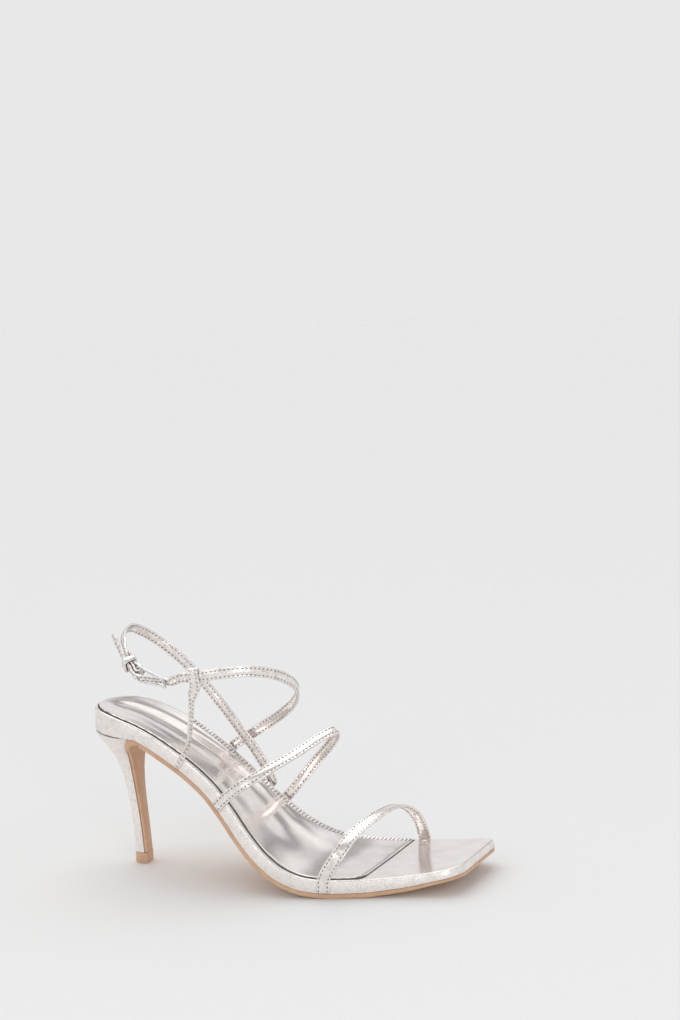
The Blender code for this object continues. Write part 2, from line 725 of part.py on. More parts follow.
def ribbon(name, line, width, widths=None):
    """A strap with folded edges, swept along a line. Widths holds shares of its width at the last points."""
    half = STRAP_THICKNESS / 2
    shares = [1.0] * (len(line) - len(widths or ())) + list(widths or ())
    rings = []
    for (point, _, face, across), share in zip(frames(line), shares):
        side = width / 2 * share
        corners = (
            (side - STRAP_EDGE, half),
            (STRAP_EDGE - side, half),
            (-side, half - STRAP_EDGE),
            (-side, STRAP_EDGE - half),
            (STRAP_EDGE - side, -half),
            (side - STRAP_EDGE, -half),
            (side, STRAP_EDGE - half),
            (side, half - STRAP_EDGE),
        )
        rings.append([point + a * across + n * face for a, n in corners])
    return add_object(name, loft(rings), PARTS, STRAP)


def lengths(line):
    total, made = 0.0, [0.0]
    for (a, _), (b, _) in zip(line, line[1:]):
        total += (b - a).length
        made.append(total)
    return made


def frame_at(line, at):
    """A line's frame at a length along it, between the two nearest points."""
    along = lengths(line)
    i = next(k for k in range(1, len(along)) if along[k] >= at)
    share = (at - along[i - 1]) / (along[i] - along[i - 1])
    first, second = frames(line)[i - 1:i + 1]
    point, run, face, across = (a.lerp(b, share) for a, b in zip(first, second))
    return point, run.normalized(), face.normalized(), across.normalized()


def leg_spread(core, core_run, at):
    """How far each leg of a fold lies from its middle line: wide round the core, then nearly closed."""
    wide = core + STRAP_THICKNESS / 2
    near = STRAP_THICKNESS / 2 + GAP / 2
    return blend(wide, near, ease((at - core_run) / FOLD_CLOSE))


def folded(line, core, core_run, fold):
    """The line of a strap whose start is doubled back round a core, and sewn down where the fold ends."""
    along = lengths(line)
    back = []
    front = []
    for at in [at for at in along if at < fold - STRAP_THICKNESS] + [fold]:
        point, _, face, _ = frame_at(line, at)
        spread = leg_spread(core, core_run, at)
        back.append((point - spread * face, -face))
        front.append((point + spread * face, face))
    for (point, _, face, _), at in zip(frames(line), along):
        if at > fold + STRAP_THICKNESS:
            spread = leg_spread(core, core_run, at) * (1 - ease((at - fold) / FOLD_FADE))
            front.append((point + spread * face, face))
    start, run, face, _ = frames(line)[0]
    cap = []
    for degrees in (-60, -30, 0, 30, 60):
        turn = math.radians(degrees)
        way = math.sin(turn) * face - math.cos(turn) * run
        cap.append((start + (core + STRAP_THICKNESS / 2) * way, way))
    return back[::-1] + cap + front


def sew(obj, line, fold):
    """Joins a folded strap's two legs with the stitched stretch at the end of the fold."""
    point, run, _, across = frame_at(line, fold - 0.6 * FOLD_STITCH)
    across = (across - across.dot(run) * run).normalized()
    size = (FOLD_STITCH, STRAP_WIDTH - 1 * MM, STRAP_THICKNESS)
    cut(obj, block(obj.name + "_stitched", point, run, across, size), "UNION")


def buckle_axes():
    """The buckle's outer bar, its hinge bar, and the directions along the strap, outwards and across it."""
    turn, tilt = math.radians(BUCKLE_FRONT.turn), math.radians(BUCKLE_FRONT.tilt)
    along = Vector((math.cos(tilt) * math.cos(turn), math.cos(tilt) * math.sin(turn), math.sin(tilt)))
    lean = Matrix.Rotation(-math.radians(BUCKLE_LEAN), 3, along)
    up = lean @ (Vector((0, 0, 1)) - along * along.z).normalized()
    out = up.cross(along).normalized()
    under = free_points([BUCKLE_FRONT])[0][0]
    outer_bar = under + (BUCKLE_WIRE / 2 + GAP + STRAP_THICKNESS / 2) * out
    hinge_bar = outer_bar + (BUCKLE_LENGTH - BUCKLE_WIRE) * along - BUCKLE_LIFT * out
    return under, outer_bar, hinge_bar, along, out, up


def back_line():
    """The middle line of the back strap, from the buckle's hinge bar to its end under the insole."""
    _, _, hinge, along, out, _ = buckle_axes()
    start = [(hinge, out)]
    end = tucked_end(BACK_END, 1)[::-1]
    return through(start + free_points(BACK_ROUTE) + end, STRAP_STEP)


def ankle_line():
    """The ankle strap: up from the medial waist, through the loop and the buckle, along the back strap."""
    under, _, hinge, along, out, _ = buckle_axes()
    over = hinge + (leg_spread(HINGE_CORE, 0, 0) + STACK + GAP) * out
    middle = under.lerp(over, 0.5)
    points = tucked_end(ANKLE_END, 1) + free_points(ANKLE_ROUTE)
    points += [(under - 2 * MM * along, out), (under + 1 * MM * along, out), (middle, out), (over, out)]
    back = back_line()
    for share in (0.25, 0.5, 0.75, 1, 1.25):
        at = share * KEEPER_PLACE
        point, _, face, _ = frame_at(back, at)
        stand = leg_spread(HINGE_CORE, 0, at) + STACK + GAP * max(0, 1 - 2 * share)
        points.append((point + stand * face, face))
    return through(points + free_points(TAIL_ROUTE), STRAP_STEP)


def nearest_frame(line, place_wanted):
    return min(frames(line), key=lambda frame: (frame[0] - place_wanted).length)


def punch(obj, name, centre, axis, diameter):
    """A round hole through a strap."""
    bm = bmesh.new()
    radius = diameter / 2
    depth = 4 * STRAP_THICKNESS
    bmesh.ops.create_cone(bm, cap_ends=True, segments=10, radius1=radius, radius2=radius, depth=depth)
    turn = Vector((0, 0, 1)).rotation_difference(axis).to_matrix().to_4x4()
    bm.transform(Matrix.Translation(centre) @ turn)
    cut(obj, add_object(name, bm, CUTTERS, None))


def toe_strap():
    points = tucked_end(TOE_ENDS[0], -1) + free_points(TOE_ROUTE) + tucked_end(TOE_ENDS[1], 1)[::-1]
    return ribbon("toe_strap", through(points, STRAP_STEP), TOE_STRAP_WIDTH)


def instep_strap():
    points = tucked_end(INSTEP_ENDS[0], -1) + free_points(INSTEP_ROUTE)
    points += tucked_end(INSTEP_ENDS[1], 1)[::-1]
    return ribbon("instep_strap", through(points, STRAP_STEP), STRAP_WIDTH)


def back_strap():
    line = back_line()
    obj = ribbon("back_strap", folded(line, HINGE_CORE, 0, BACK_FOLD), STRAP_WIDTH)
    sew(obj, line, BACK_FOLD)
    _, _, hinge, along, out, _ = buckle_axes()
    reach = 2 * (HINGE_CORE + STRAP_THICKNESS) + 1 * MM
    slot = (reach, reach, PRONG_WIRE + 2 * GAP)
    cut(obj, block("prong_slot", hinge, along, out, slot))
    return obj


def ankle_strap():
    line = ankle_line()
    obj = ribbon("ankle_strap", line, STRAP_WIDTH, (1, 0.9, 0.5))
    under, _, hinge, along, out, _ = buckle_axes()
    pierced = hinge - PRONG_STAND * along + (leg_spread(HINGE_CORE, 0, 0) + STRAP_THICKNESS) * out
    punch(obj, "hole_in_use", pierced, out, PRONG_WIRE + 3 * GAP)
    for i in range(SPARE_HOLES):
        wanted = under - (0.7 + i) * HOLE_PITCH * along
        point, _, face, _ = nearest_frame(line, wanted)
        punch(obj, f"hole_spare_{i}", point, face, HOLE_DIAMETER)
    return obj


def side_strap():
    """Up from the lateral waist, round the ankle strap and down again, which makes the loop."""
    ankle = ankle_line()
    held = free_points([ANKLE_ROUTE[LOOP_ROW]])[0][0]
    point, _, face, across = nearest_frame(ankle, held)
    top = point + STRAP_WIDTH / 2 * across
    start = [(top - share * STRAP_WIDTH * across, face) for share in (0, 0.35, 0.7, 1.1)]
    line = through(start + free_points(SIDE_ROUTE) + tucked_end(SIDE_END, -1)[::-1], STRAP_STEP)
    core = STRAP_THICKNESS / 2 + GAP
    pinch = (0.95, 0.85, 0.75) + (SIDE_PINCH,) * 14
    obj = ribbon("side_strap", folded(line, core, STRAP_WIDTH, SIDE_FOLD), STRAP_WIDTH, pinch)
    sew(obj, line, SIDE_FOLD)
    return obj


def keeper():
    """The band that holds the ankle strap's tail against the folded back strap."""
    ends = {}
    for shift in (-1, 1):
        at = KEEPER_PLACE + shift * KEEPER_WIDTH / 2
        spread = leg_spread(HINGE_CORE, 0, at)
        low = -(spread + STRAP_THICKNESS / 2 + KEEPER_SLACK)
        high = spread + STACK + STRAP_THICKNESS / 2 + KEEPER_SLACK
        ends[shift] = (frame_at(back_line(), at), low + KEEPER_EDGE, high - KEEPER_EDGE)
    side = STRAP_WIDTH / 2 + KEEPER_SLACK - KEEPER_EDGE
    rings = []
    for right, raised, first in ((1, 1, 0), (-1, 1, 90), (-1, 0, 180), (1, 0, 270)):
        for degrees in (first, first + 45, first + 90):
            turn = math.radians(degrees)
            ring = []
            for reach, shift in ((0, -1), (0, 1), (KEEPER_WALL, 1), (KEEPER_WALL, -1)):
                (point, _, face, across), low, high = ends[shift]
                corner = point + right * side * across + (high if raised else low) * face
                way = math.cos(turn) * across + math.sin(turn) * face
                ring.append(corner + (KEEPER_EDGE + reach) * way)
            rings.append(ring)
    return add_object("keeper", loft(rings, ring_shaped=True), PARTS, STRAP)


def wire(name, points, thickness, cyclic):
    """A round wire along a route of straight steps."""
    data = bpy.data.curves.new(name, "CURVE")
    data.dimensions = "3D"
    data.bevel_depth = thickness / 2
    data.bevel_resolution = 2
    data.use_fill_caps = True
    spline = data.splines.new("POLY")
    spline.points.add(len(points) - 1)
    for item, point in zip(spline.points, points):
        item.co = (*point, 1)
    spline.use_cyclic_u = cyclic
    data.materials.append(METAL)
    obj = bpy.data.objects.new(name, data)
    PARTS.objects.link(obj)
    return obj


def buckle_frame():
    _, outer_bar, hinge, _, _, up = buckle_axes()
    run = (hinge - outer_bar).normalized()
    middle = (hinge + outer_bar) / 2
    length = (hinge - outer_bar).length / 2 - BUCKLE_CORNER
    width = (BUCKLE_WIDTH - BUCKLE_WIRE) / 2 - BUCKLE_CORNER
    points = []
    corners = ((length, width, 0), (-length, width, 90), (-length, -width, 180), (length, -width, 270))
    for a, b, first in corners:
        for degrees in (first, first + 45, first + 90):
            turn = math.radians(degrees)
            reach = BUCKLE_CORNER * Vector((math.cos(turn), math.sin(turn)))
            points.append(middle + (a + reach.x) * run + (b + reach.y) * up)
    return wire("buckle_frame", points, BUCKLE_WIRE, True)


def buckle_prong():
    """One wire: an eye round the hinge bar, up through the strap's hole, and on to the outer bar."""
    _, outer_bar, hinge, along, out, _ = buckle_axes()
    eye = HINGE_CORE + PRONG_WIRE / 2
    points = []
    for degrees in range(60, -181, -30):
        turn = math.radians(degrees)
        points.append(hinge + eye * (math.cos(turn) * along + math.sin(turn) * out))
    over = leg_spread(HINGE_CORE, 0, 0) + STACK + STRAP_THICKNESS / 2 + 2 * GAP + PRONG_WIRE / 2
    points.append(hinge - PRONG_STAND * along + 0.6 * over * out)
    points.append(hinge - PRONG_STAND * along + 0.85 * over * out)
    points.append(hinge - (PRONG_STAND + 0.6 * MM) * along + over * out)
    points.append(hinge - (PRONG_STAND + 2.2 * MM) * along + (over + PRONG_BOW) * out)
    rest = outer_bar + (BUCKLE_WIRE / 2 + GAP + PRONG_WIRE / 2) * out
    points.append(rest + 3 * MM * along + PRONG_BOW * out)
    points.append(rest - PRONG_END * along)
    return wire("buckle_prong", points, PRONG_WIRE, False)


clear_scene()
PARTS = collection("strappy_heeled_sandal")
CUTTERS = collection("cutters")
SILVER = material("silver_leather", (0.78, 0.76, 0.73), 0.32, 0.75)
LINING = material("silver_lining", (0.80, 0.76, 0.74), 0.22, 0.80)
STRAP = material("strap_leather", (0.76, 0.74, 0.71), 0.30, 0.80)
TAN = material("tan_sole", (0.56, 0.31, 0.19), 0.55, 0.0)
METAL = material("polished_metal", (0.72, 0.72, 0.74), 0.15, 1.0)

outsole()
insole()
sock()
heel()
toplift()
toe_strap()
instep_strap()
side_strap()
ankle_strap()
back_strap()
keeper()
buckle_frame()
buckle_prong()
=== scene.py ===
import math
from collections import namedtuple
from functools import lru_cache

import bmesh
import bpy
from mathutils import Matrix, Vector, noise
from mathutils.kdtree import KDTree


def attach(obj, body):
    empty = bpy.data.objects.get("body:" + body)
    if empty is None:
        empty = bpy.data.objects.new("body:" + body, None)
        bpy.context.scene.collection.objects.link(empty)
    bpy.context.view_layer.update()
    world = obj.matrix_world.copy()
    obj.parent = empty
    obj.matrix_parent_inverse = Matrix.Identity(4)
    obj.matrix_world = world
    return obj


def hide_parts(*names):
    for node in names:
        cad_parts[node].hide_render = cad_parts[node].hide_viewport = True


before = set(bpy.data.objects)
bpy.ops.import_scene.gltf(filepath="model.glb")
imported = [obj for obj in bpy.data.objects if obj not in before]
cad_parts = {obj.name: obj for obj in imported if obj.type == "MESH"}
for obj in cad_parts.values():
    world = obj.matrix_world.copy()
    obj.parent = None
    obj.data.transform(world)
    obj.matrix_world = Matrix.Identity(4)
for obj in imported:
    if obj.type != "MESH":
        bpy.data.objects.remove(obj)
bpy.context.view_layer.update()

# Studio. A pale paper floor runs without a seam into the same pale grey behind. A very large soft light hangs
# over it, two smaller ones stand on the buckle's side, and a dark band above the grey gives the foil its
# streaks. The camera looks at the outer side from the toe end, a little above it, as a shop picture does.
PAPER_GREY = (0.82, 0.82, 0.82)
PAPER_SIZE = 80
OVERHEAD_SPREAD = 62  # degrees of the sky that the overhead light comes from
SENSOR_WIDTH = 36
# The sky's grey by how high a ray points: 0 is level and 1 is straight up.
Stop = namedtuple("Stop", "height grey")
SKY = (
    Stop(0.0, 0.806),
    Stop(0.35, 0.806),
    Stop(0.39, 0.2),
    Stop(0.43, 0.2),
    Stop(0.48, 0.86),
    Stop(0.55, 1.12),
    Stop(0.64, 1.12),
    Stop(0.72, 0.55),
    Stop(1.0, 0.42),
)
PHOTO_AZIMUTH, PHOTO_PITCH, PHOTO_ROLL = 16.03, 6.78, -1.68
FOCAL_PIXELS = 1690
TIP_PIXEL = (143.86, 860.69)  # where the middle of the heel tip's underside lies in the frame
TIP_DISTANCE = 0.9763  # from there to the camera, along its view
PHOTO_SIZE = (680, 1020)


def placed(name, bm, finishes=()):
    """Makes an object of this mesh work, in these finishes, and puts it into the scene."""
    mesh = bpy.data.meshes.new(name)
    bm.to_mesh(mesh)
    bm.free()
    for finish in finishes:
        mesh.materials.append(finish)
    made = bpy.data.objects.new(name, mesh)
    bpy.context.scene.collection.objects.link(made)
    return made


def paper_floor():
    bm = bmesh.new()
    bmesh.ops.create_grid(bm, x_segments=2, y_segments=2, size=PAPER_SIZE / 2)
    paper = bpy.data.materials.new("paper")
    paper.use_nodes = True
    shader = paper.node_tree.nodes["Principled BSDF"]
    shader.inputs["Base Color"].default_value = (*PAPER_GREY, 1)
    shader.inputs["Roughness"].default_value = 0.9
    shader.inputs["Specular IOR Level"].default_value = 0.1
    return placed("paper_floor", bm, [paper])


def soft_light(name, place, target, power, size=None):
    """A rectangle of light of this width and height, or one that comes evenly from a part of the sky."""
    data = bpy.data.lights.new(name, "AREA" if size else "SUN")
    data.energy = power
    if size:
        data.shape = "RECTANGLE"
        data.size, data.size_y = size
    else:
        data.angle = math.radians(OVERHEAD_SPREAD)
    made = bpy.data.objects.new(name, data)
    made.location = place
    made.rotation_euler = (Vector(target) - Vector(place)).to_track_quat("-Z", "Y").to_euler()
    made.visible_camera = False
    bpy.context.scene.collection.objects.link(made)


def photo_camera():
    """The camera: the pixel of the heel tip and its distance give its place."""
    azimuth, pitch, roll = (math.radians(angle) for angle in (PHOTO_AZIMUTH, PHOTO_PITCH, PHOTO_ROLL))
    data = bpy.data.cameras.new("photo_camera")
    data.sensor_width = SENSOR_WIDTH
    data.lens = FOCAL_PIXELS / PHOTO_SIZE[1] * data.sensor_width
    made = bpy.data.objects.new("photo_camera", data)
    level = Matrix.Rotation(azimuth, 3, "Z") @ Matrix.Rotation(math.pi / 2 - pitch, 3, "X")
    turn = level @ Matrix.Rotation(roll, 3, "Z")
    right, up, back = turn.transposed()
    aside = (TIP_PIXEL[0] - PHOTO_SIZE[0] / 2) / FOCAL_PIXELS
    below = (TIP_PIXEL[1] - PHOTO_SIZE[1] / 2) / FOCAL_PIXELS
    place = TIP_DISTANCE * (back - aside * right + below * up)
    made.matrix_world = Matrix.Translation(place) @ turn.to_4x4()
    bpy.context.scene.collection.objects.link(made)
    bpy.context.scene.camera = made


def studio_world():
    """The backdrop's grey all round at eye level, with a dark flag and a bright reflector above it."""
    world = bpy.data.worlds.new("studio")
    world.use_nodes = True
    nodes, links = world.node_tree.nodes, world.node_tree.links
    ray = nodes.new("ShaderNodeTexCoord")
    split = nodes.new("ShaderNodeSeparateXYZ")
    ramp = nodes.new("ShaderNodeValToRGB")
    stops = ramp.color_ramp.elements
    while len(stops) < len(SKY):
        stops.new(0.5)
    for stop, row in zip(stops, SKY):
        stop.position = row.height
        stop.color = (row.grey, row.grey, row.grey, 1)
    links.new(ray.outputs["Generated"], split.inputs[0])
    links.new(split.outputs["Z"], ramp.inputs["Fac"])
    links.new(ramp.outputs["Color"], nodes["Background"].inputs["Color"])
    bpy.context.scene.world = world


paper_floor()
soft_light("overhead_softbox", place=(-0.5, 0.6, 2.2), target=(0, 0, 0), power=1.06)
soft_light("side_softbox", place=(0.98, -1.42, 0.5), target=(0.1, 0.0, 0.08), power=3.0, size=(0.4, 1.0))
soft_light("front_softbox", place=(-0.45, -1.75, 0.62), target=(0.08, 0.0, 0.06), power=1.5, size=(0.5, 0.35))
photo_camera()
studio_world()
bpy.context.scene.view_settings.view_transform = "Standard"


# Outsole. One sheet of tan rubber, cut to the lasted insole and glued under it. It runs from the squared toe
# through the waist, round the arch and down the breast of the heel to the toplift.
MM = 0.001
SOLE_LENGTH = 218.5 * MM
BALL_WIDTH = 79 * MM
HEEL_HEIGHT = 93 * MM
TOE_SPRING = 5.6 * MM
INSOLE_THICKNESS = 7.4 * MM
SEAT_WALL = 12.5 * MM
OUTSOLE_THICKNESS = 2.6 * MM
OUTSOLE_INSET = 0.8 * MM
OUTSOLE_EDGE = 0.4 * MM
EDGE_ROUND = ((1.0, 0.0), (0.5, 0.06), (0.15, 0.16), (0.0, 0.3), (0.0, 0.97), (0.1, 1.0))
HEEL_ROUND = 27 * MM
TOE_CORNER = 9 * MM
HEEL_SETBACK = 23.6 * MM
TIP_LENGTH = 8.7 * MM
TIP_WIDTH = 9.6 * MM
TIP_HEIGHT = 6.2 * MM
BREAST_HOLLOW = 4.4 * MM
BREAST_SHEET = 1.6 * MM
ARCH_RADIUS = 8 * MM
ARCH_SEARCH = (0.02, 0.45)  # stations between which the start of the arch is sought, by halving
HALVINGS = 40
ARCH_SWEEP = 76  # degrees of the arch that the heel follows
ARCH_FILL = 1.5 * MM
ARCH_STEPS = 14
BREAST_STEPS = 24
OUTSOLE_STEPS = 84
BREAST_SHARE = 0.94  # the breast's width, as a share of the heel's
END_START = 0.25 * MM  # how far into its roundings the sole begins
SEAT_STATION = 0.13  # where the heel takes the seat's width
HEEL_INSET = 0.2 * MM
SHEET_INSET = 0.3 * MM
GAP = 0.3 * MM
TREAD_HEIGHT = INSOLE_THICKNESS + GAP + OUTSOLE_THICKNESS
TAN = (0.66, 0.42, 0.27, 1)
TAN_WORN = (0.57, 0.345, 0.215, 1)

# Stations run from the heel (0) to the toe (1), half widths are shares of BALL_WIDTH, and the skew leans a
# station forward on its inner side.
Row = namedtuple("Row", "station lateral medial skew rise spring thin")
SOLE = (
    Row(0.00, 0.315, 0.322, 0.000, 1.000, 0.00, 1.00),
    Row(0.06, 0.322, 0.326, 0.000, 0.982, 0.00, 1.00),
    Row(0.125, 0.336, 0.327, 0.000, 0.940, 0.00, 1.00),
    Row(0.19, 0.350, 0.320, 0.015, 0.872, 0.00, 1.00),
    Row(0.25, 0.365, 0.302, 0.030, 0.787, 0.00, 1.00),
    Row(0.31, 0.382, 0.272, 0.040, 0.690, 0.00, 1.00),
    Row(0.375, 0.410, 0.245, 0.052, 0.559, 0.00, 1.00),
    Row(0.43, 0.457, 0.254, 0.064, 0.416, 0.00, 1.00),
    Row(0.48, 0.512, 0.300, 0.076, 0.278, 0.00, 1.00),
    Row(0.53, 0.549, 0.355, 0.088, 0.154, 0.00, 1.00),
    Row(0.58, 0.566, 0.401, 0.100, 0.068, 0.00, 1.00),
    Row(0.625, 0.563, 0.436, 0.115, 0.024, 0.00, 1.00),
    Row(0.66, 0.549, 0.456, 0.130, 0.008, 0.00, 1.00),
    Row(0.70, 0.527, 0.466, 0.145, 0.000, 0.00, 1.00),
    Row(0.775, 0.475, 0.472, 0.170, 0.000, 0.00, 0.98),
    Row(0.82, 0.441, 0.472, 0.176, 0.000, 0.10, 0.92),
    Row(0.88, 0.393, 0.464, 0.178, 0.000, 0.29, 0.83),
    Row(0.94, 0.341, 0.448, 0.178, 0.000, 0.58, 0.68),
    Row(1.00, 0.297, 0.428, 0.178, 0.000, 1.00, 0.60),
)
# The heel's front climbs the breast from 0 to 1 and the arch from 1 to 2. The other columns go from the tip
# (0) to the seat (1).
HeelRow = namedtuple("HeelRow", "front level back half")
HEEL = (
    HeelRow(0.00, 0.00, 0.00, 0.000),
    HeelRow(0.27, 0.20, 0.05, 0.012),
    HeelRow(0.45, 0.35, 0.10, 0.030),
    HeelRow(0.63, 0.49, 0.18, 0.075),
    HeelRow(0.79, 0.62, 0.29, 0.150),
    HeelRow(0.92, 0.73, 0.42, 0.270),
    HeelRow(1.05, 0.81, 0.56, 0.430),
    HeelRow(1.40, 0.88, 0.71, 0.620),
    HeelRow(1.70, 0.94, 0.86, 0.820),
    HeelRow(2.00, 1.00, 0.97, 0.980),
)
BREAST = ((0.00, 0.00), (0.27, 0.28), (0.45, 0.54), (0.63, 0.78), (0.82, 0.96), (1.00, 1.00))


def ease(share):
    share = min(1.0, max(0.0, share))
    return share * share * (3 - 2 * share)


def blend(a, b, share):
    return a + (b - a) * share


def monotone(table, at):
    """A smooth value from (place, value) rows that never overshoots them."""
    steps = [(b[0] - a[0], (b[1] - a[1]) / (b[0] - a[0])) for a, b in zip(table, table[1:])]
    slopes = [steps[0][1]]
    for (run, slope), (next_run, next_slope) in zip(steps, steps[1:]):
        if slope * next_slope <= 0:
            slopes.append(0.0)
            continue
        first = 2 * next_run + run
        second = next_run + 2 * run
        slopes.append((first + second) / (first / slope + second / next_slope))
    slopes.append(steps[-1][1])
    last = len(table) - 2
    i = next((k for k in range(last + 1) if at <= table[k + 1][0]), last)
    run = steps[i][0]
    share = min(1.0, max(0.0, (at - table[i][0]) / run))
    rise = (table[i + 1][1] - table[i][1]) * ease(share)
    bends = slopes[i] * share * (1 - share) ** 2 - slopes[i + 1] * share**2 * (1 - share)
    return table[i][1] + rise + run * bends


@lru_cache(maxsize=None)
def sole_value(column, station):
    return monotone([(row.station, getattr(row, column)) for row in SOLE], station)


@lru_cache(maxsize=None)
def rim(station):
    """The insole's top line in side view, as (x, z)."""
    rise = sole_value("rise", station) * (HEEL_HEIGHT - TREAD_HEIGHT)
    spring = sole_value("spring", station) * TOE_SPRING
    return Vector((station * SOLE_LENGTH - HEEL_SETBACK, TREAD_HEIGHT + rise + spring))


@lru_cache(maxsize=None)
def rim_up(station):
    """The direction square to the rim line, upwards, in side view."""
    step = 0.004
    run = rim(min(1, station + step)) - rim(max(0, station - step))
    return Vector((-run.y, run.x)).normalized()


def waist_underside(station):
    return rim(station) - sole_value("thin", station) * INSOLE_THICKNESS * rim_up(station)


def sheet_thickness(station):
    return sole_value("thin", station) * OUTSOLE_THICKNESS


def outsole_underside(station):
    return waist_underside(station) - (GAP + sheet_thickness(station)) * rim_up(station)


def breast_x(level):
    """The outer face of the sheet down the heel's breast."""
    return TIP_LENGTH / 2 - BREAST_HOLLOW * monotone(BREAST, level)


def find_arch_station():
    """The station at which the arch's round, run on from the waist, is tangent to the breast."""
    low, high = ARCH_SEARCH
    for _ in range(HALVINGS):
        middle = (low + high) / 2
        centre = outsole_underside(middle) - ARCH_RADIUS * rim_up(middle)
        if centre.x - ARCH_RADIUS > breast_x(1):
            high = middle
        else:
            low = middle
    return (low + high) / 2


ARCH_STATION = find_arch_station()
ARCH_CENTRE = outsole_underside(ARCH_STATION) - ARCH_RADIUS * rim_up(ARCH_STATION)
SEAT_FRONT = ARCH_STATION - ARCH_RADIUS / 2 / SOLE_LENGTH


@lru_cache(maxsize=None)
def underside(station):
    """The insole's lower line: square to the rim in the waist, and one flat plane over the heel."""
    if station >= SEAT_FRONT:
        return waist_underside(station)
    back = rim(0) - Vector((0, SEAT_WALL))
    return back.lerp(waist_underside(SEAT_FRONT), station / SEAT_FRONT)


def seat_z(x):
    """The height of the heel seat's plane at x."""
    back = underside(0)
    front = underside(SEAT_FRONT)
    return blend(back.y, front.y, (x - back.x) / (front.x - back.x))


@lru_cache(maxsize=None)
def half_width(side, station):
    """Half the sole's width on one side, rounded at the heel and at the toe's corners."""
    width = sole_value("medial" if side > 0 else "lateral", station) * BALL_WIDTH
    from_heel = station * SOLE_LENGTH + END_START
    if from_heel < HEEL_ROUND:
        width *= math.sqrt(1 - (1 - from_heel / HEEL_ROUND) ** 2)
    from_toe = (1 - station) * SOLE_LENGTH + END_START
    if from_toe < TOE_CORNER:
        width -= TOE_CORNER - math.sqrt(TOE_CORNER**2 - (TOE_CORNER - from_toe) ** 2)
    return width


def across_shoe(line, y, skew):
    """A point of a side view line, moved across the shoe."""
    return Vector((line.x + y * skew, y, line.y))


def sole_stations(heel_steps, toe_steps, between):
    """Stations close together at the ends, whose steps are in millimetres, and even between them."""
    low = [step * MM / SOLE_LENGTH for step in heel_steps]
    high = [1 - step * MM / SOLE_LENGTH for step in reversed(toe_steps)]
    return low + [blend(low[-1], high[0], i / between) for i in range(1, between)] + high


def seat_half():
    return half_width(-1, SEAT_STATION) - HEEL_INSET


def heel_half(climb):
    """Half the width of the heel's breast at this height."""
    share = monotone([(row.front, row.half) for row in HEEL], climb)
    return BREAST_SHARE * blend(TIP_WIDTH / 2 - HEEL_INSET, seat_half(), share)


def heel_front(climb, gap):
    """The line down the back of the outsole's sheet: 0 at the tip, 1 at the arch, 2 round it."""
    z = blend(TIP_HEIGHT + GAP, ARCH_CENTRE.y, min(climb, 1))
    if climb <= 1:
        return Vector((breast_x(climb) - BREAST_SHEET - gap, z))
    turn = math.radians(ARCH_SWEEP) * (climb - 1)
    radius = ARCH_RADIUS + blend(BREAST_SHEET, OUTSOLE_THICKNESS, climb - 1) + gap
    return ARCH_CENTRE + radius * Vector((-math.cos(turn), math.sin(turn)))


def loft(name, rings, finishes, ring_shaped=False, sharp=38):
    """A closed body through rings of equally many points: capped on each end, or joined end to end."""
    bm = bmesh.new()
    loops = [[bm.verts.new(point) for point in ring] for ring in rings]
    seconds = loops[1:] + loops[:1] if ring_shaped else loops[1:]
    for first, second in zip(loops, seconds):
        for i, corner in enumerate(first):
            bm.faces.new((first[i - 1], corner, second[i], second[i - 1]))
    if not ring_shaped:
        bm.faces.new(loops[0])
        bm.faces.new(reversed(loops[-1]))
    bmesh.ops.recalc_face_normals(bm, faces=bm.faces)
    if bm.calc_volume(signed=True) < 0:
        bmesh.ops.reverse_faces(bm, faces=bm.faces)
    made = placed(name, bm, finishes)
    made.data.shade_smooth()
    made.data.set_sharp_from_angle(angle=math.radians(sharp))
    return made


class Signal:
    """A socket of a node tree. Python's operators on it add the Math nodes that they stand for."""

    def __init__(self, tree, socket=None):
        self.tree = tree
        self.socket = socket

    def node(self, kind, settings=None, inputs=None, output=0):
        """Adds a node: its settings are set first, then the values or links of its sockets."""
        made = self.tree.nodes.new(kind)
        for name, value in (settings or {}).items():
            setattr(made, name, value)
        for name, value in (inputs or {}).items():
            if isinstance(value, Signal):
                self.tree.links.new(value.socket, made.inputs[name])
            else:
                made.inputs[name].default_value = value
        return Signal(self.tree, made.outputs[output])

    def maths(self, operation, *values):
        return self.node("ShaderNodeMath", {"operation": operation}, dict(enumerate(values)))

    def __add__(self, other):
        return self.maths("ADD", self, other)

    def __radd__(self, other):
        return self.maths("ADD", other, self)

    def __sub__(self, other):
        return self.maths("SUBTRACT", self, other)

    def __rsub__(self, other):
        return self.maths("SUBTRACT", other, self)

    def __mul__(self, other):
        return self.maths("MULTIPLY", self, other)

    def __rmul__(self, other):
        return self.maths("MULTIPLY", other, self)


def noise_of(place, cell, detail=2.0, roughness=0.5):
    """Soft noise, from 0 to 1, whose lumps are this far apart."""
    inputs = {"Vector": place, "Scale": 1 / cell, "Detail": detail, "Roughness": roughness}
    return place.node("ShaderNodeTexNoise", {}, inputs)


def between(value, low, high):
    """0 below low, 1 above high, with a smooth rise between them."""
    inputs = {"Value": value, "From Min": low, "From Max": high}
    return value.node("ShaderNodeMapRange", {"interpolation_type": "SMOOTHSTEP"}, inputs)


def mixed(factor, first, second):
    return factor.node("ShaderNodeMix", {"data_type": "RGBA"}, {0: factor, 6: first, 7: second}, 2)


def bumped(height, depth):
    return height.node("ShaderNodeBump", {}, {"Strength": 1.0, "Distance": depth, "Height": height})


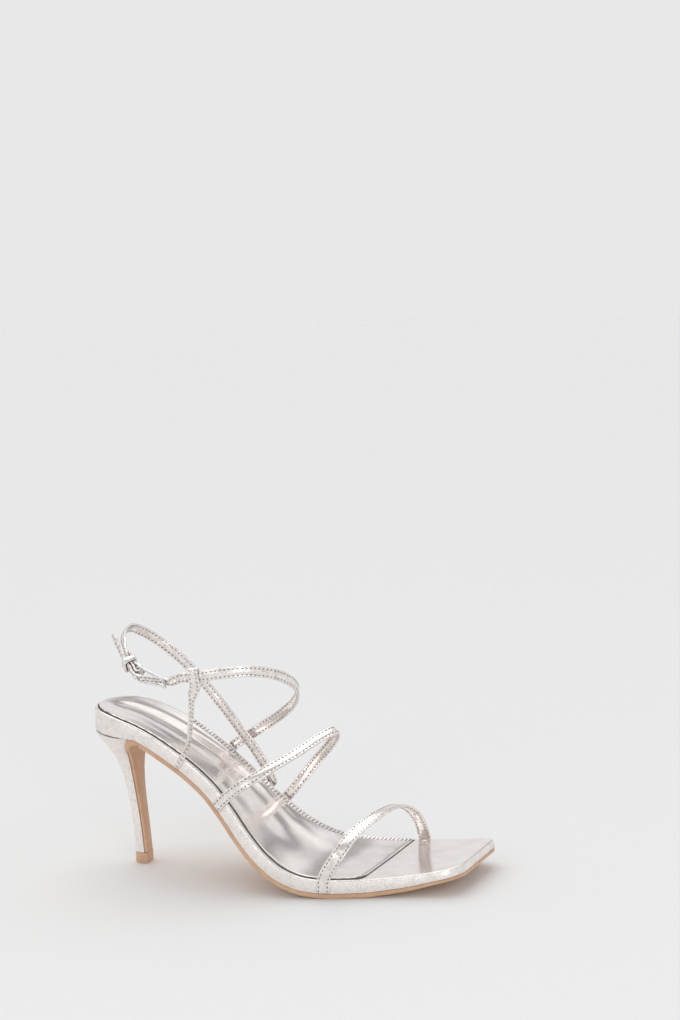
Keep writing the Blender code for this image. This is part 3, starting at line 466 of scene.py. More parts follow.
def make_finish(name, constants, surface):
    """A material: constants go on the shader itself, and surface gives what changes from place to place."""
    made = bpy.data.materials.new(name)
    made.use_nodes = True
    shader = made.node_tree.nodes["Principled BSDF"]
    for socket, value in constants.items():
        shader.inputs[socket].default_value = value
    place = Signal(made.node_tree).node("ShaderNodeTexCoord", output="Object")
    for socket, value in surface(place).items():
        made.node_tree.links.new(value.socket, shader.inputs[socket])
    return made


def rubber_surface(place):
    patches = noise_of(place, 9 * MM, 3.0)
    grain = noise_of(place, 0.7 * MM, 4.0, 0.6)
    return {
        "Base Color": mixed(between(patches, 0.35, 0.75), TAN, TAN_WORN),
        "Roughness": 0.42 + 0.2 * grain,
        "Normal": bumped(grain, 0.05 * MM),
    }


def outsole():
    """The sheet's sections from the toe to the arch, round it and down the breast of the heel."""
    sections = []
    toe_steps = (0, 0.4, 1, 1.8, 3, 4.5, 6.2, 8.5)
    forefoot = sole_stations((ARCH_STATION * SOLE_LENGTH / MM,), toe_steps, OUTSOLE_STEPS)
    for station in reversed(forefoot):
        outer = outsole_underside(station)
        inner = outer + sheet_thickness(station) * rim_up(station)
        halves = [half_width(side, station) for side in (-1, 1)]
        halves = [half - min(OUTSOLE_INSET, 0.1 * half) for half in halves]
        sections.append((outer, inner, halves, sole_value("skew", station)))
    start = math.atan2(rim_up(ARCH_STATION).y, -rim_up(ARCH_STATION).x)
    waist_halves = sections[-1][2]
    for step in range(1, ARCH_STEPS):
        share = step / ARCH_STEPS
        turn = start * (1 - share)
        way = Vector((-math.cos(turn), math.sin(turn)))
        sheet = blend(OUTSOLE_THICKNESS, BREAST_SHEET, share) + ARCH_FILL * math.sin(math.pi * share)
        narrow = heel_half(1 + math.degrees(turn) / ARCH_SWEEP) - SHEET_INSET
        outer = ARCH_CENTRE + ARCH_RADIUS * way
        sections.append((outer, outer + sheet * way, [min(narrow, half) for half in waist_halves], 0.0))
    for step in range(BREAST_STEPS + 1):
        climb = 1 - step / BREAST_STEPS
        inner = heel_front(climb, 0)
        half = heel_half(climb) - SHEET_INSET
        sections.append((inner + Vector((BREAST_SHEET, 0)), inner, [half, half], 0.0))
    rings = []
    for outer, inner, (lateral, medial), skew in sections:
        half_ring = [(inset * OUTSOLE_EDGE, outer.lerp(inner, share)) for inset, share in EDGE_ROUND]
        ring = [across_shoe(line, medial - inset, skew) for inset, line in half_ring]
        ring += [across_shoe(line, inset - lateral, skew) for inset, line in reversed(half_ring)]
        rings.append(ring)
    return loft("outsole_sheet", rings, [RUBBER])


RUBBER = make_finish("tan_rubber", {}, rubber_surface)
outsole_sheet = outsole()
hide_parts("outsole")
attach(outsole_sheet, "root")


# Insole platform. Board, steel shank and a foam edge, wrapped in crackled foil leather that is pulled over
# the rounded rim and down the wall. In front of the sock its top is covered in the smooth lining leather, and
# under the sock the board lies bare. The board is coloured near-black, and where the recess shows beside the
# sock that dark colour is painted shade for the gap between the rim and the sock.
LIP_WIDTH = 2.0 * MM
LIP_DROP = 1.2 * MM
LIP_ROUND = 1.0 * MM
SOCK_RECESS = 1.0 * MM
SOCK_FRONT = 0.777
SOCK_CORNER = 7 * MM
RECESS_WALL = 0.25 * MM  # run of the slanted wall round the recess
RECESS_MARGIN = 0.0015  # how far the recess reaches in front of the sock, as a station
BED_DISH = 1.2 * MM
DISH_FADE = (0.35, 0.65)  # stations between which the dish grows shallow
DISH_LOSS = 0.75  # share of its depth that it loses there
DISH_RUN = 20 * MM  # from each end to its full depth
WALL_BULGE = 0.25 * MM
WALL_CHAMFER = 0.4 * MM
WALL_SHARES = (0.0, 0.05, 0.25, 0.5, 0.75)
TOP_CROWDING = 3 * MM  # where the top is narrow, the point with this inset lies half way to the middle
BED_STEPS = 100
RIM_POINTS = 6  # from the top of the wall to where the crackled leather ends
FOIL = (0.93, 0.88, 0.85, 1)
FOIL_DULL = (0.80, 0.75, 0.72, 1)
FOIL_CRACK = (0.48, 0.45, 0.42, 1)
WALL_CRACK = (0.66, 0.63, 0.60, 1)
# Near-black board brown: painted shade for the gap between the insole's rim and the sock.
PAINTED_SHADE_BOARD_COLOUR = (0.19, 0.165, 0.15, 1)
LINING = (0.93, 0.875, 0.855, 1)
LINING_DULL = (0.85, 0.79, 0.765, 1)
CRACKLE_CELL = 0.9 * MM


def foil_plates(place, cell):
    """The small plates that foil breaks into: the distance from their edges, and from their middles."""
    inputs = {"Vector": place, "Scale": 1 / cell, "Randomness": 1.0}
    features = ("DISTANCE_TO_EDGE", "F1")
    return [place.node("ShaderNodeTexVoronoi", {"feature": feature}, inputs) for feature in features]


def crackled_surface(place):
    """Foil on leather: small plates with dull cracks between them, flat here and creased there."""
    wander = noise_of(place, 5 * MM, 2.0)
    edge, plate = foil_plates(place, CRACKLE_CELL)
    crack = (1 - between(edge, 0.02, 0.14)) * between(wander, 0.25, 0.8)
    wear = between(noise_of(place, 1.5 * MM, 4.0, 0.7), 0.45, 0.85)
    grain = noise_of(place, 0.45 * MM, 3.0, 0.6)
    body = mixed(wear, FOIL, FOIL_DULL)
    return {
        "Base Color": mixed(crack, body, WALL_CRACK),
        "Metallic": 0.92 - 0.35 * crack - 0.12 * wear,
        "Roughness": 0.22 + 0.16 * wear + 0.25 * crack,
        "Normal": bumped(grain * 0.3 - crack * 0.8 + plate * 0.4, 0.07 * MM),
    }


def lining_surface(place):
    """Smooth, shiny lining leather with a faint grain."""
    cloud = noise_of(place, 11 * MM, 2.0)
    grain = noise_of(place, 0.8 * MM, 3.0, 0.6)
    return {
        "Base Color": mixed(between(cloud, 0.3, 0.8), LINING, LINING_DULL),
        "Metallic": 0.9 - 0.1 * cloud,
        "Roughness": 0.07 + 0.1 * cloud + 0.03 * grain,
        "Normal": bumped(grain, 0.02 * MM),
    }


def heel_radius(side, station):
    """The radius of the sole's outline round the heel, at the stations where it is round."""
    full, back = half_width(side, station), max(station * SOLE_LENGTH, 0.01 * MM)
    return (full**2 + back**2) / (2 * back) if back < full else None


def from_edge(side, station, across):
    """How far inside the sole's outline a place is, measured square to the outline round the heel too."""
    radius = heel_radius(side, station)
    if radius:
        return max(0.0, radius - math.hypot(radius - station * SOLE_LENGTH, across))
    return half_width(side, station) - across


def recess_depth(side, station, edge):
    """How far the insole's top is let in for the sock here: its lateral front corner is rounded."""
    from_side = edge - LIP_WIDTH
    from_front = (SOCK_FRONT + RECESS_MARGIN - station) * SOLE_LENGTH
    inside = min(from_side, from_front)
    if side < 0 and max(from_side, from_front) < SOCK_CORNER:
        inside = SOCK_CORNER - math.hypot(SOCK_CORNER - from_side, SOCK_CORNER - from_front)
    return SOCK_RECESS * ease(inside / RECESS_WALL + 1)


def lip(inset):
    """How far the insole's rounded rim lies below the rim line."""
    if inset < LIP_ROUND:
        return LIP_DROP * (1 - math.sqrt(1 - (1 - inset / LIP_ROUND) ** 2))
    return 0.0


def bed_dish(station):
    """The dish across the footbed, deep in the heel and waist and flat at the toe."""
    first, last = DISH_FADE
    return BED_DISH * (1 - DISH_LOSS * ease((station - first) / (last - first)))


def insole():
    """Sections from the heel to the toe, close together at both ends and at the sock's front edge."""
    heel_steps = (0, 0.1, 0.3, 0.6, 1, 1.5, 2, 3, 4.5, 6.5, 9, 12, 15, 19)
    toe_steps = (0, 0.1, 0.25, 0.45, 0.7, 1, 1.4, 2, 3, 4.5, 6.2, 8, 10)
    front_steps = (-6, -4.5, -3.2, -2.2, -1.4, -0.7, 0, 0.35, 0.7)
    stations = sole_stations(heel_steps, toe_steps, BED_STEPS)
    stations += [SOCK_FRONT + step * MM / SOLE_LENGTH for step in front_steps]
    stations.append(SEAT_FRONT)
    insets = (0, 0.04, 0.15, 0.33, 0.6, 1.0, 1.4, 1.75, 2.0, 2.5, 3.2, 4.2, 5.6, 7.5)
    insets = [inset * MM for inset in insets]
    rings = []
    depths = []
    for station in sorted(stations):
        top, bottom, up = rim(station), underside(station), rim_up(station)
        skew = sole_value("skew", station)
        from_end = min(station, 1 - station) * SOLE_LENGTH
        sag = bed_dish(station) * ease(from_end / DISH_RUN)
        sides = {}
        for side in (-1, 1):
            half = half_width(side, station)
            line = []
            for share in WALL_SHARES:
                bulge = WALL_BULGE * 4 * share * (1 - share)
                chamfer = min(WALL_CHAMFER, 0.2 * half) if share == 0 else 0
                wall = bottom.lerp(top - LIP_DROP * up, share)
                line.append((across_shoe(wall, side * (half - chamfer + bulge), skew), 0))
            for inset in insets + [blend(insets[-1], half, share) for share in (0.3, 0.65)]:
                inset = min(inset, half * (0.05 + 0.9 * inset / (inset + TOP_CROWDING)))
                edge = from_edge(side, station, half - inset)
                recess = recess_depth(side, station, edge)
                dish = sag * ease((inset - LIP_WIDTH) / (half - LIP_WIDTH)) if half > LIP_WIDTH + MM else 0
                depth = lip(min(edge, (1 - station) * SOLE_LENGTH)) + recess + dish
                line.append((across_shoe(top - depth * up, side * (half - inset), skew), recess))
            sides[side] = line
        recess = recess_depth(1, station, from_edge(1, station, 0))
        centre = (across_shoe(top - (lip(from_end) + recess + sag) * up, 0, skew), recess)
        ring = sides[-1] + [centre] + sides[1][::-1]
        rings.append([point for point, _ in ring])
        depths += [depth for _, depth in ring]
    made = loft("insole_platform", rings, [CRACKLED, SMOOTH_LINING, BOARD_AND_PAINTED_SHADE])
    count = len(rings[0])
    rim_first = len(WALL_SHARES) + RIM_POINTS
    for face in made.data.polygons:
        ring, spot = divmod(face.index, count)
        if rim_first < spot <= count - rim_first and ring < len(rings) - 1:
            # Faces deep in the recess take the dark board colour: painted shade in the channel beside the
            # sock.
            deep = max(depths[corner] for corner in face.vertices) > 0.5 * SOCK_RECESS
            face.material_index = 2 if deep else 1
    return made


def board_and_painted_shade_surface(place):
    """Brown fibre board, coloured near-black as painted shade for the gap between the insole's rim and the
    sock.
    """
    fibre = noise_of(place, 0.6 * MM, 3.0)
    return {"Roughness": 0.8 + 0.1 * fibre, "Normal": bumped(fibre, 0.03 * MM)}


# The board's dark colour is painted shade where it shows between the rim and the sock.
BOARD_AND_PAINTED_SHADE = make_finish("insole_board_and_painted_shade", {"Base Color": PAINTED_SHADE_BOARD_COLOUR}, board_and_painted_shade_surface)
CRACKLED = make_finish("crackled_foil_leather", {}, crackled_surface)
SMOOTH_LINING = make_finish("smooth_lining_leather", {}, lining_surface)
insole_platform = insole()
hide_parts("insole")
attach(insole_platform, "root")


# Padded sock. Thin foam under shiny lining leather, laid in the insole's recess up to its slanted front edge
# and sewn down along its inner side. Its cut edge and end caps take the near-black board colour, painted
# shade for the gap between the insole's rim and the sock, and the leather has drawn into long shallow waves.
SOCK_THICKNESS = 1.2 * MM
SOCK_INSET = LIP_WIDTH + GAP
SOCK_TIP = 0.5 * MM
SOCK_STEPS = 90
NARROW_HALF = 9 * MM  # where half the sock is narrower than this, its edge profile is drawn in
STITCH_ROWS = (1.9 * MM, 3.7 * MM)
SEWN_START = 0.22  # station at which the stitch rows begin
SEWN_RUN = 0.04
OUTLINE_STEPS = 300
# How thick the pad is, as a share of SOCK_THICKNESS, by millimetres from its edge or from its front.
PLAIN_PAD = ((0.0, 1.10), (0.3, 1.28), (1.1, 1.36), (60.0, 1.42))
SEWN_PAD = (
    (0.0, 1.10), (0.3, 1.28), (1.1, 1.36), (1.9, 1.16), (2.8, 1.36),
    (3.7, 1.16), (4.9, 1.38), (9.0, 1.42), (60.0, 1.42),
)
FRONT_EDGE = ((0.0, 0.80), (0.3, 1.05), (0.9, 1.20), (3.0, 1.30), (60.0, 1.42))
WAVE_HEIGHT = 0.5 * MM
WAVE_START = 4.5 * MM
WAVE_RUN = 7 * MM
CALM_START = 0.50  # station from which the waves flatten out
CALM_RUN = 0.10
CALM_SHARE = 0.85
Wave = namedtuple("Wave", "length width share seed")
WAVES = (Wave(70 * MM, 7.5 * MM, 1.0, 0.4), Wave(40 * MM, 3.6 * MM, 0.4, 7.1))


def sock_half(side, station):
    """Half the sock's width: parallel to the sole's edge, with its outer front corner rounded."""
    half = half_width(side, station) - SOCK_INSET
    radius = heel_radius(side, station)
    if radius:
        square = (radius - SOCK_INSET) ** 2 - (radius - station * SOLE_LENGTH) ** 2
        return max(SOCK_TIP, math.sqrt(max(0.0, square)))
    from_front = (SOCK_FRONT - station) * SOLE_LENGTH
    if side < 0 and from_front < SOCK_CORNER:
        half -= SOCK_CORNER - math.sqrt(SOCK_CORNER**2 - (SOCK_CORNER - from_front) ** 2)
    return half


def sock_outline():
    """The sock's edge in the flat, as (along, across), from the front's outer corner round the heel."""
    heel_steps = (0, 0.05, 0.2, 0.5, 1, 1.7, 2.6, 3.8, 5.2, 7, 9, 11.5, 14)
    stations = [(SOCK_INSET + step * MM) / SOLE_LENGTH for step in heel_steps]
    run = [i / OUTLINE_STEPS for i in range(1, OUTLINE_STEPS + 1)]
    stations += [blend(stations[-1], SOCK_FRONT, share) for share in run]
    lateral = [Vector((s * SOLE_LENGTH, -sock_half(-1, s))) for s in reversed(stations)]
    return lateral + [Vector((s * SOLE_LENGTH, sock_half(1, s))) for s in stations]


SOCK_OUTLINE = sock_outline()
SOCK_EDGE = KDTree(len(SOCK_OUTLINE))
for i, point in enumerate(SOCK_OUTLINE):
    SOCK_EDGE.insert((point.x, point.y, 0), i)
SOCK_EDGE.balance()


def sock_sag(station, share):
    """How far the sock lies below the rim line at this share of its half width."""
    return bed_dish(station) * ease(station * SOLE_LENGTH / DISH_RUN) * (1 - share)


def sock_top(along, across):
    """A point of the sock's upper face over this place of the flat pattern."""
    station = along / SOLE_LENGTH
    inset = SOCK_EDGE.find((along, across, 0))[2]
    half = sock_half(1 if across > 0 else -1, station)
    share = min(1.0, abs(across) / half)
    from_front = (SOCK_FRONT - station) * SOLE_LENGTH
    waves = 0.0
    for wave in WAVES:
        spot = Vector((along / wave.length, across / wave.width, wave.seed))
        waves += wave.share * noise.noise(spot)
    sewn_here = ease((station - SEWN_START) / SEWN_RUN) if across > 0 else 0
    height = blend(monotone(PLAIN_PAD, inset / MM), monotone(SEWN_PAD, inset / MM), sewn_here)
    height = min(height, monotone(FRONT_EDGE, from_front / MM))
    rise = SOCK_THICKNESS * height - SOCK_RECESS + GAP - sock_sag(station, share)
    calm = 1 - CALM_SHARE * ease((station - CALM_START) / CALM_RUN)
    rise += WAVE_HEIGHT * waves * ease((inset - WAVE_START) / WAVE_RUN) * calm
    return across_shoe(rim(station) + rise * rim_up(station), across, sole_value("skew", station))


def sock():
    """Sections from the heel to the front: the upper face from edge to edge, and a few points underneath."""
    heel_steps = (0, 0.08, 0.25, 0.5, 0.8, 1.2, 1.6, 2, 2.4, 2.8, 3.3, 3.7, 4.2, 5, 6, 7.5, 9, 11)
    front_steps = (5, 4.2, 3.7, 3.2, 2.8, 2.4, 1.9, 1.5, 1.1, 0.6, 0.25, 0)
    stations = [(SOCK_INSET + step * MM) / SOLE_LENGTH for step in heel_steps]
    ends = [SOCK_FRONT - step * MM / SOLE_LENGTH for step in front_steps]
    stations += [blend(stations[-1], ends[0], i / SOCK_STEPS) for i in range(1, SOCK_STEPS)] + ends
    insets = (0, 0.2, 0.45, 0.8, 1.2, 1.55, 1.9, 2.25, 2.6, 3.0, 3.35, 3.7, 4.1, 4.6, 5.4, 6.6)
    inner = (0.92, 0.782, 0.644, 0.506, 0.368, 0.23, 0.115)
    under = (1, 0.5, 0, -0.5, -1)
    rings = []
    for station in stations:
        ring = []
        for side in (-1, 1):
            half = sock_half(side, station)
            reach = min(1.0, half / NARROW_HALF)
            line = [half - inset * MM * reach for inset in insets]
            line += [line[-1] * share for share in inner]
            line = [sock_top(station * SOLE_LENGTH, side * y) for y in line]
            ring += line + [sock_top(station * SOLE_LENGTH, 0)] if side < 0 else line[::-1]
        for share in under:
            half = sock_half(1 if share > 0 else -1, station)
            low = rim(station) - (SOCK_RECESS - GAP + sock_sag(station, abs(share))) * rim_up(station)
            ring.append(across_shoe(low, share * half, sole_value("skew", station)))
        rings.append(ring)
    made = loft("padded_sock", rings, [SMOOTH_LINING, BOARD_AND_PAINTED_SHADE], sharp=60)
    count = len(rings[0])
    edges = (0, count - len(under))
    # The side edges and end caps take the dark board colour: painted shade for the gap beside the insole's
    # rim.
    for face in made.data.polygons:
        if face.index % count in edges or face.index >= count * (len(rings) - 1):
            face.material_index = 1
    return made


padded_sock = sock()
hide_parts("sock")
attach(padded_sock, "root")


# Sock stitching. Two rows of grey thread along the inner side of the sock, sewn through it into the insole.
# They draw the padding down into a shallow groove under each row.
STITCH_PITCH = 2.3 * MM
STITCH_LENGTH = 1.35 * MM
THREAD_WIDTH = 0.74 * MM
THREAD_LIFT = 0.14 * MM
ROW_END = 0.6 * MM
ROW_TOLERANCE = 0.93  # share of a row's inset that each stitch has to keep from the sock's edge
THREAD = (0.25, 0.23, 0.21, 1)
THREAD_SHADE = (0.16, 0.15, 0.14, 1)


def thread_surface(place):
    """Twisted thread, lighter and darker along its strands."""
    strand = noise_of(place, 0.25 * MM, 2.0)
    return {
        "Base Color": mixed(between(strand, 0.35, 0.7), THREAD, THREAD_SHADE),
        "Roughness": 0.5 + 0.2 * strand,
        "Normal": bumped(strand, 0.05 * MM),
    }


def stitching_tree():
    """Stitches along a line whose points say where the leather faces."""
    tree = bpy.data.node_groups.new("stitching", "GeometryNodeTree")
    tree.interface.new_socket("Line", in_out="INPUT", socket_type="NodeSocketGeometry")
    for name in ("Pitch", "Stitch length", "Thread width"):
        tree.interface.new_socket(name, in_out="INPUT", socket_type="NodeSocketFloat")
    tree.interface.new_socket("Seed", in_out="INPUT", socket_type="NodeSocketInt")
    tree.interface.new_socket("Thread", in_out="INPUT", socket_type="NodeSocketMaterial")
    tree.interface.new_socket("Stitches", in_out="OUTPUT", socket_type="NodeSocketGeometry")
    start = Signal(tree).node("NodeGroupInput")
    sent = start.socket.node.outputs
    line, pitch, length, width, seed, thread = (Signal(tree, sent[i]) for i in range(6))
    curve = line.node("GeometryNodeMeshToCurve", {}, {"Mesh": line})
    spaced = curve.node("GeometryNodeResampleCurve", {"mode": "LENGTH"}, {"Curve": curve, "Length": pitch})
    tangent = curve.node("GeometryNodeInputTangent")
    facing = curve.node("GeometryNodeInputNamedAttribute", {"data_type": "FLOAT_VECTOR"}, {"Name": "facing"})
    along = curve.node("FunctionNodeAlignRotationToVector", {"axis": "X"}, {"Vector": tangent})
    pose = {"axis": "Z", "pivot_axis": "X"}
    turned = curve.node("FunctionNodeAlignRotationToVector", pose, {"Rotation": along, "Vector": facing})
    ball = curve.node("GeometryNodeMeshUVSphere", {}, {"Segments": 6, "Rings": 4, "Radius": 0.5})
    drawn = curve.node("FunctionNodeRandomValue", {"data_type": "FLOAT"}, {2: 0.9, 3: 1.08, "Seed": seed}, 1)
    size = curve.node("ShaderNodeCombineXYZ", {}, {0: length, 1: width, 2: width * 0.7})
    size = curve.node("ShaderNodeVectorMath", {"operation": "SCALE"}, {0: size, "Scale": drawn})
    placed = {"Points": spaced, "Instance": ball, "Rotation": turned, "Scale": size}
    stitches = curve.node("GeometryNodeInstanceOnPoints", {}, placed)
    real = curve.node("GeometryNodeRealizeInstances", {}, {"Geometry": stitches})
    smooth = curve.node("GeometryNodeSetShadeSmooth", {}, {"Geometry": real})
    done = curve.node("GeometryNodeSetMaterial", {}, {"Geometry": smooth, "Material": thread})
    tree.links.new(done.socket, tree.nodes.new("NodeGroupOutput").inputs[0])
    return tree


def sewn(name, rows, pitch=STITCH_PITCH):
    """The stitches of some rows, each a list of points with the way that the leather faces there."""
    mesh = bpy.data.meshes.new(name)
    points = [point for row in rows for point, _ in row]
    edges, count = [], 0
    for row in rows:
        edges += [(count + i, count + i + 1) for i in range(len(row) - 1)]
        count += len(row)
    mesh.from_pydata(points, edges, [])
    facing = mesh.attributes.new("facing", "FLOAT_VECTOR", "POINT")
    for item, way in zip(facing.data, [way for row in rows for _, way in row]):
        item.vector = way
    made = bpy.data.objects.new(name, mesh)
    bpy.context.scene.collection.objects.link(made)
    modifier = made.modifiers.new("stitching", "NODES")
    modifier.node_group = STITCHING
    values = {"Pitch": pitch, "Stitch length": STITCH_LENGTH, "Thread width": THREAD_WIDTH}
    values |= {"Seed": 3, "Thread": GREY_THREAD}
    for item in STITCHING.interface.items_tree:
        if item.in_out == "INPUT" and item.name in values:
            modifier[item.identifier] = values[item.name]
    evaluated = made.evaluated_get(bpy.context.evaluated_depsgraph_get())
    stitches = bpy.data.meshes.new_from_object(evaluated)
    stitches.name = name
    made.modifiers.remove(modifier)
    made.data = stitches
    return made


def sock_row(inset):
    """A stitch row of the sock: its edge drawn in by the inset, laid on its upper face."""
    row = []
    for before, point, after in zip(SOCK_OUTLINE, SOCK_OUTLINE[1:], SOCK_OUTLINE[2:]):
        run = after - before
        moved = point + inset * Vector((run.y, -run.x)).normalized()
        beyond = moved.x > SOCK_FRONT * SOLE_LENGTH - ROW_END
        if beyond or moved.y < 0 or moved.x < SEWN_START * SOLE_LENGTH:
            continue
        if SOCK_EDGE.find((moved.x, moved.y, 0))[2] < ROW_TOLERANCE * inset:
            continue
        up = rim_up(moved.x / SOLE_LENGTH)
        face = Vector((up.x, 0, up.y))
        row.append((sock_top(moved.x, moved.y) + THREAD_LIFT * face, face))
    return row


GREY_THREAD = make_finish("grey_thread", {}, thread_surface)
STITCHING = stitching_tree()
sock_stitching = sewn("sock_stitching", [sock_row(inset) for inset in STITCH_ROWS])
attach(sock_stitching, "root")


# Heel. A slim moulded heel with a steel dowel, covered in one piece of the crackled leather that is drawn
# tight round its back and sides, and screwed to the seat from above.
HEEL_BACK_INSET = 0.6 * MM
HEEL_STEPS = 54
HEEL_MIDDLE = 0.35  # where the round back begins, from front to back
SEAT_FROM = 1.6  # the climb from which the heel's front is drawn level with the seat
# The flanks in front of it, as shares of the way to the breast and of the half width.
HEEL_FLANK = ((0.3, 0.998), (0.6, 0.985), (0.85, 0.965), (0.96, 0.945), (1.0, 0.90))


def arc(first, last, step):
    """The cosine and sine of each angle from first to last, in degrees."""
    angles = range(first, last + (1 if step > 0 else -1), step)
    return [(math.cos(math.radians(angle)), math.sin(math.radians(angle))) for angle in angles]


def heel():
    """Level sections from the toplift to the seat: a round back and a flatter front along the breast."""
    foot = TIP_HEIGHT + GAP
    top_back = HEEL_BACK_INSET - HEEL_SETBACK
    columns = HeelRow(*(list(enumerate(column)) for column in zip(*HEEL)))
    rings = []
    for step in range(HEEL_STEPS + 1):
        at = (len(HEEL) - 1) * step / HEEL_STEPS
        row = HeelRow(*(monotone(column, at) for column in columns))
        front = heel_front(row.front, GAP)
        back_x = blend(HEEL_INSET - TIP_LENGTH / 2, top_back, row.back)
        back_z = blend(foot, seat_z(top_back) - GAP, row.level)
        front.y = blend(front.y, seat_z(front.x) - GAP, ease((row.front - SEAT_FROM) / (2 - SEAT_FROM)))
        half = blend(TIP_WIDTH / 2 - HEEL_INSET, seat_half(), row.half)
        middle = blend(front.x, back_x, HEEL_MIDDLE)
        ring = [(middle + (back_x - middle) * cos, half * sin) for cos, sin in arc(-90, 90, 6)]
        ring += [(blend(middle, front.x, share), half * wide) for share, wide in HEEL_FLANK]
        ring += [(blend(middle, front.x, share), -half * wide) for share, wide in reversed(HEEL_FLANK)]
        slope = (back_z - front.y) / (back_x - front.x)
        rings.append([Vector((x, y, front.y + slope * (x - front.x))) for x, y in ring])
    return loft("covered_heel", rings, [HEEL_COVER])


def cover_surface(place):
    """The same foil leather, stretched so tight that its crackle has nearly gone."""
    wear = between(noise_of(place, 2.4 * MM, 4.0, 0.65), 0.42, 0.75)
    grain = noise_of(place, 0.6 * MM, 3.0, 0.6)
    return {
        "Base Color": mixed(wear, FOIL, FOIL_DULL),
        "Metallic": 0.85 - 0.15 * wear,
        "Roughness": 0.36 + 0.14 * wear,
        "Normal": bumped(grain, 0.04 * MM),
    }


HEEL_COVER = make_finish("stretched_foil_leather", {}, cover_surface)
covered_heel = heel()
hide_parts("heel")
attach(covered_heel, "root")


# Toplift. A small block of hard tan rubber with the outline of the heel's tip, pinned into it from below. It
# carries the back of the shoe, and its edges are chamfered.
TOPLIFT_CHAMFER = 0.35 * MM
TOPLIFT_MIDDLE = 0.1  # where its round back begins, in tip lengths in front of the middle
# Heights, and the share of the chamfer that is cut away there.
TOPLIFT_LEVELS = (
    (0, 1.0), (0.15 * MM, 0.35), (0.4 * MM, 0.0), (TIP_HEIGHT - 0.4 * MM, 0.0), (TIP_HEIGHT, 0.5),
)
TOPLIFT_FRONT = ((0.4, -0.49), (0.485, -0.475), (0.5, -0.44), (0.5, 0.44), (0.485, 0.475), (0.4, 0.49))


def toplift():
    """Level sections with a round back and a nearly square front, chamfered at the bottom and the top."""
    rings = []
    for z, share in TOPLIFT_LEVELS:
        inset = share * TOPLIFT_CHAMFER
        depth, half = (0.5 + TOPLIFT_MIDDLE) * TIP_LENGTH - inset, TIP_WIDTH / 2 - inset
        ring = [(TOPLIFT_MIDDLE * TIP_LENGTH + depth * cos, half * sin) for cos, sin in arc(90, 270, 9)]
        for x, y in TOPLIFT_FRONT:
            ring.append((x * TIP_LENGTH - inset * (x == 0.5), y * TIP_WIDTH - math.copysign(inset, y)))
        rings.append([Vector((x, y, z)) for x, y in ring])
    return loft("toplift_block", rings, [RUBBER])


toplift_block = toplift()
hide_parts("toplift")
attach(toplift_block, "root")


# Toe and instep straps. Each is a strip of crackled leather with its edges folded in, backed with lining and
# sewn along both edges. Its ends go down the insole's wall and are lasted under it.
STRAP_WIDTH = 6.0 * MM
TOE_STRAP_WIDTH = 7.0 * MM
STRAP_THICKNESS = 1.4 * MM
STRAP_HEIGHT = 130 * MM
STRAP_LEAN = 0.037  # how far the straps lean forward as they rise
LEAN_CENTRE = 0.79  # station about which they lean
STRAP_STEP = 1.3 * MM
TUCK = 8 * MM  # length of a strap end under the insole
TUCK_MARGIN = 0.2 * MM  # the straight run between a tuck and its bend
TUCK_BEND = 0.65 * MM  # inner radius of its bend round the wall's foot
STITCH_INSET = 1.15 * MM
STITCH_GROOVE = 0.08 * MM
THREAD_SINK = 0.05 * MM
STRAP_CRACKLE_CELL = 0.85 * MM
# The face's crown, as shares of half the width across and millimetres up from the face.
STRAP_CROWN = ((0, 0.05), (0.45, 0.04))
# The folded edge, as millimetres in from the strap's side and up from its face.
FOLDED_EDGE = ((0.42, -0.03), (0.17, -0.16), (0.03, -0.36), (0.0, -0.55), (0.10, -0.70))
STRAP_STITCH_PITCH = 2.4 * MM
TOE_ENDS = (0.688, 0.800)  # stations of the lateral and the medial end
INSTEP_ENDS = (0.408, 0.470)
Strap = namedtuple("Strap", "node ends route width")
# Along is a share of SOLE_LENGTH, across of BALL_WIDTH and height of STRAP_HEIGHT. Turn and tilt, in degrees,
# say where the strap's outer face looks.
Point = namedtuple("Point", "along across height turn tilt")
TOE_ROUTE = (
    Point(0.702, -0.540, 0.192, -90, 15),
    Point(0.726, -0.435, 0.254, -90, 42),
    Point(0.749, -0.270, 0.287, -88, 64),
    Point(0.773, -0.070, 0.302, -80, 84),
    Point(0.793, 0.115, 0.293, 88, 72),
    Point(0.810, 0.265, 0.252, 90, 46),
    Point(0.822, 0.385, 0.188, 90, 22),
)
INSTEP_ROUTE = (
    Point(0.448, -0.470, 0.430, -95, 18),
    Point(0.500, -0.405, 0.487, -92, 38),
    Point(0.556, -0.235, 0.540, -75, 58),
    Point(0.604, -0.050, 0.592, -40, 62),
    Point(0.630, 0.085, 0.606, 20, 50),
    Point(0.606, 0.215, 0.530, 65, 32),
    Point(0.560, 0.290, 0.432, 85, 16),
    Point(0.520, 0.320, 0.345, 90, 8),
)


def edge_frame(station, side):
    """The insole's edge: its top point, the outward direction, up the wall and the wall's depth."""
    def wall_line(line, share):
        return across_shoe(line(share), side * half_width(side, share), sole_value("skew", share))

    step = 0.006
    run = (wall_line(rim, station + step) - wall_line(rim, station - step)).normalized()
    wall = wall_line(rim, station) - wall_line(underside, station)
    up = wall.normalized()
    out = run.cross(up).normalized()
    if out.y * side < 0:
        out = -out
    return wall_line(rim, station), out, up, wall.length


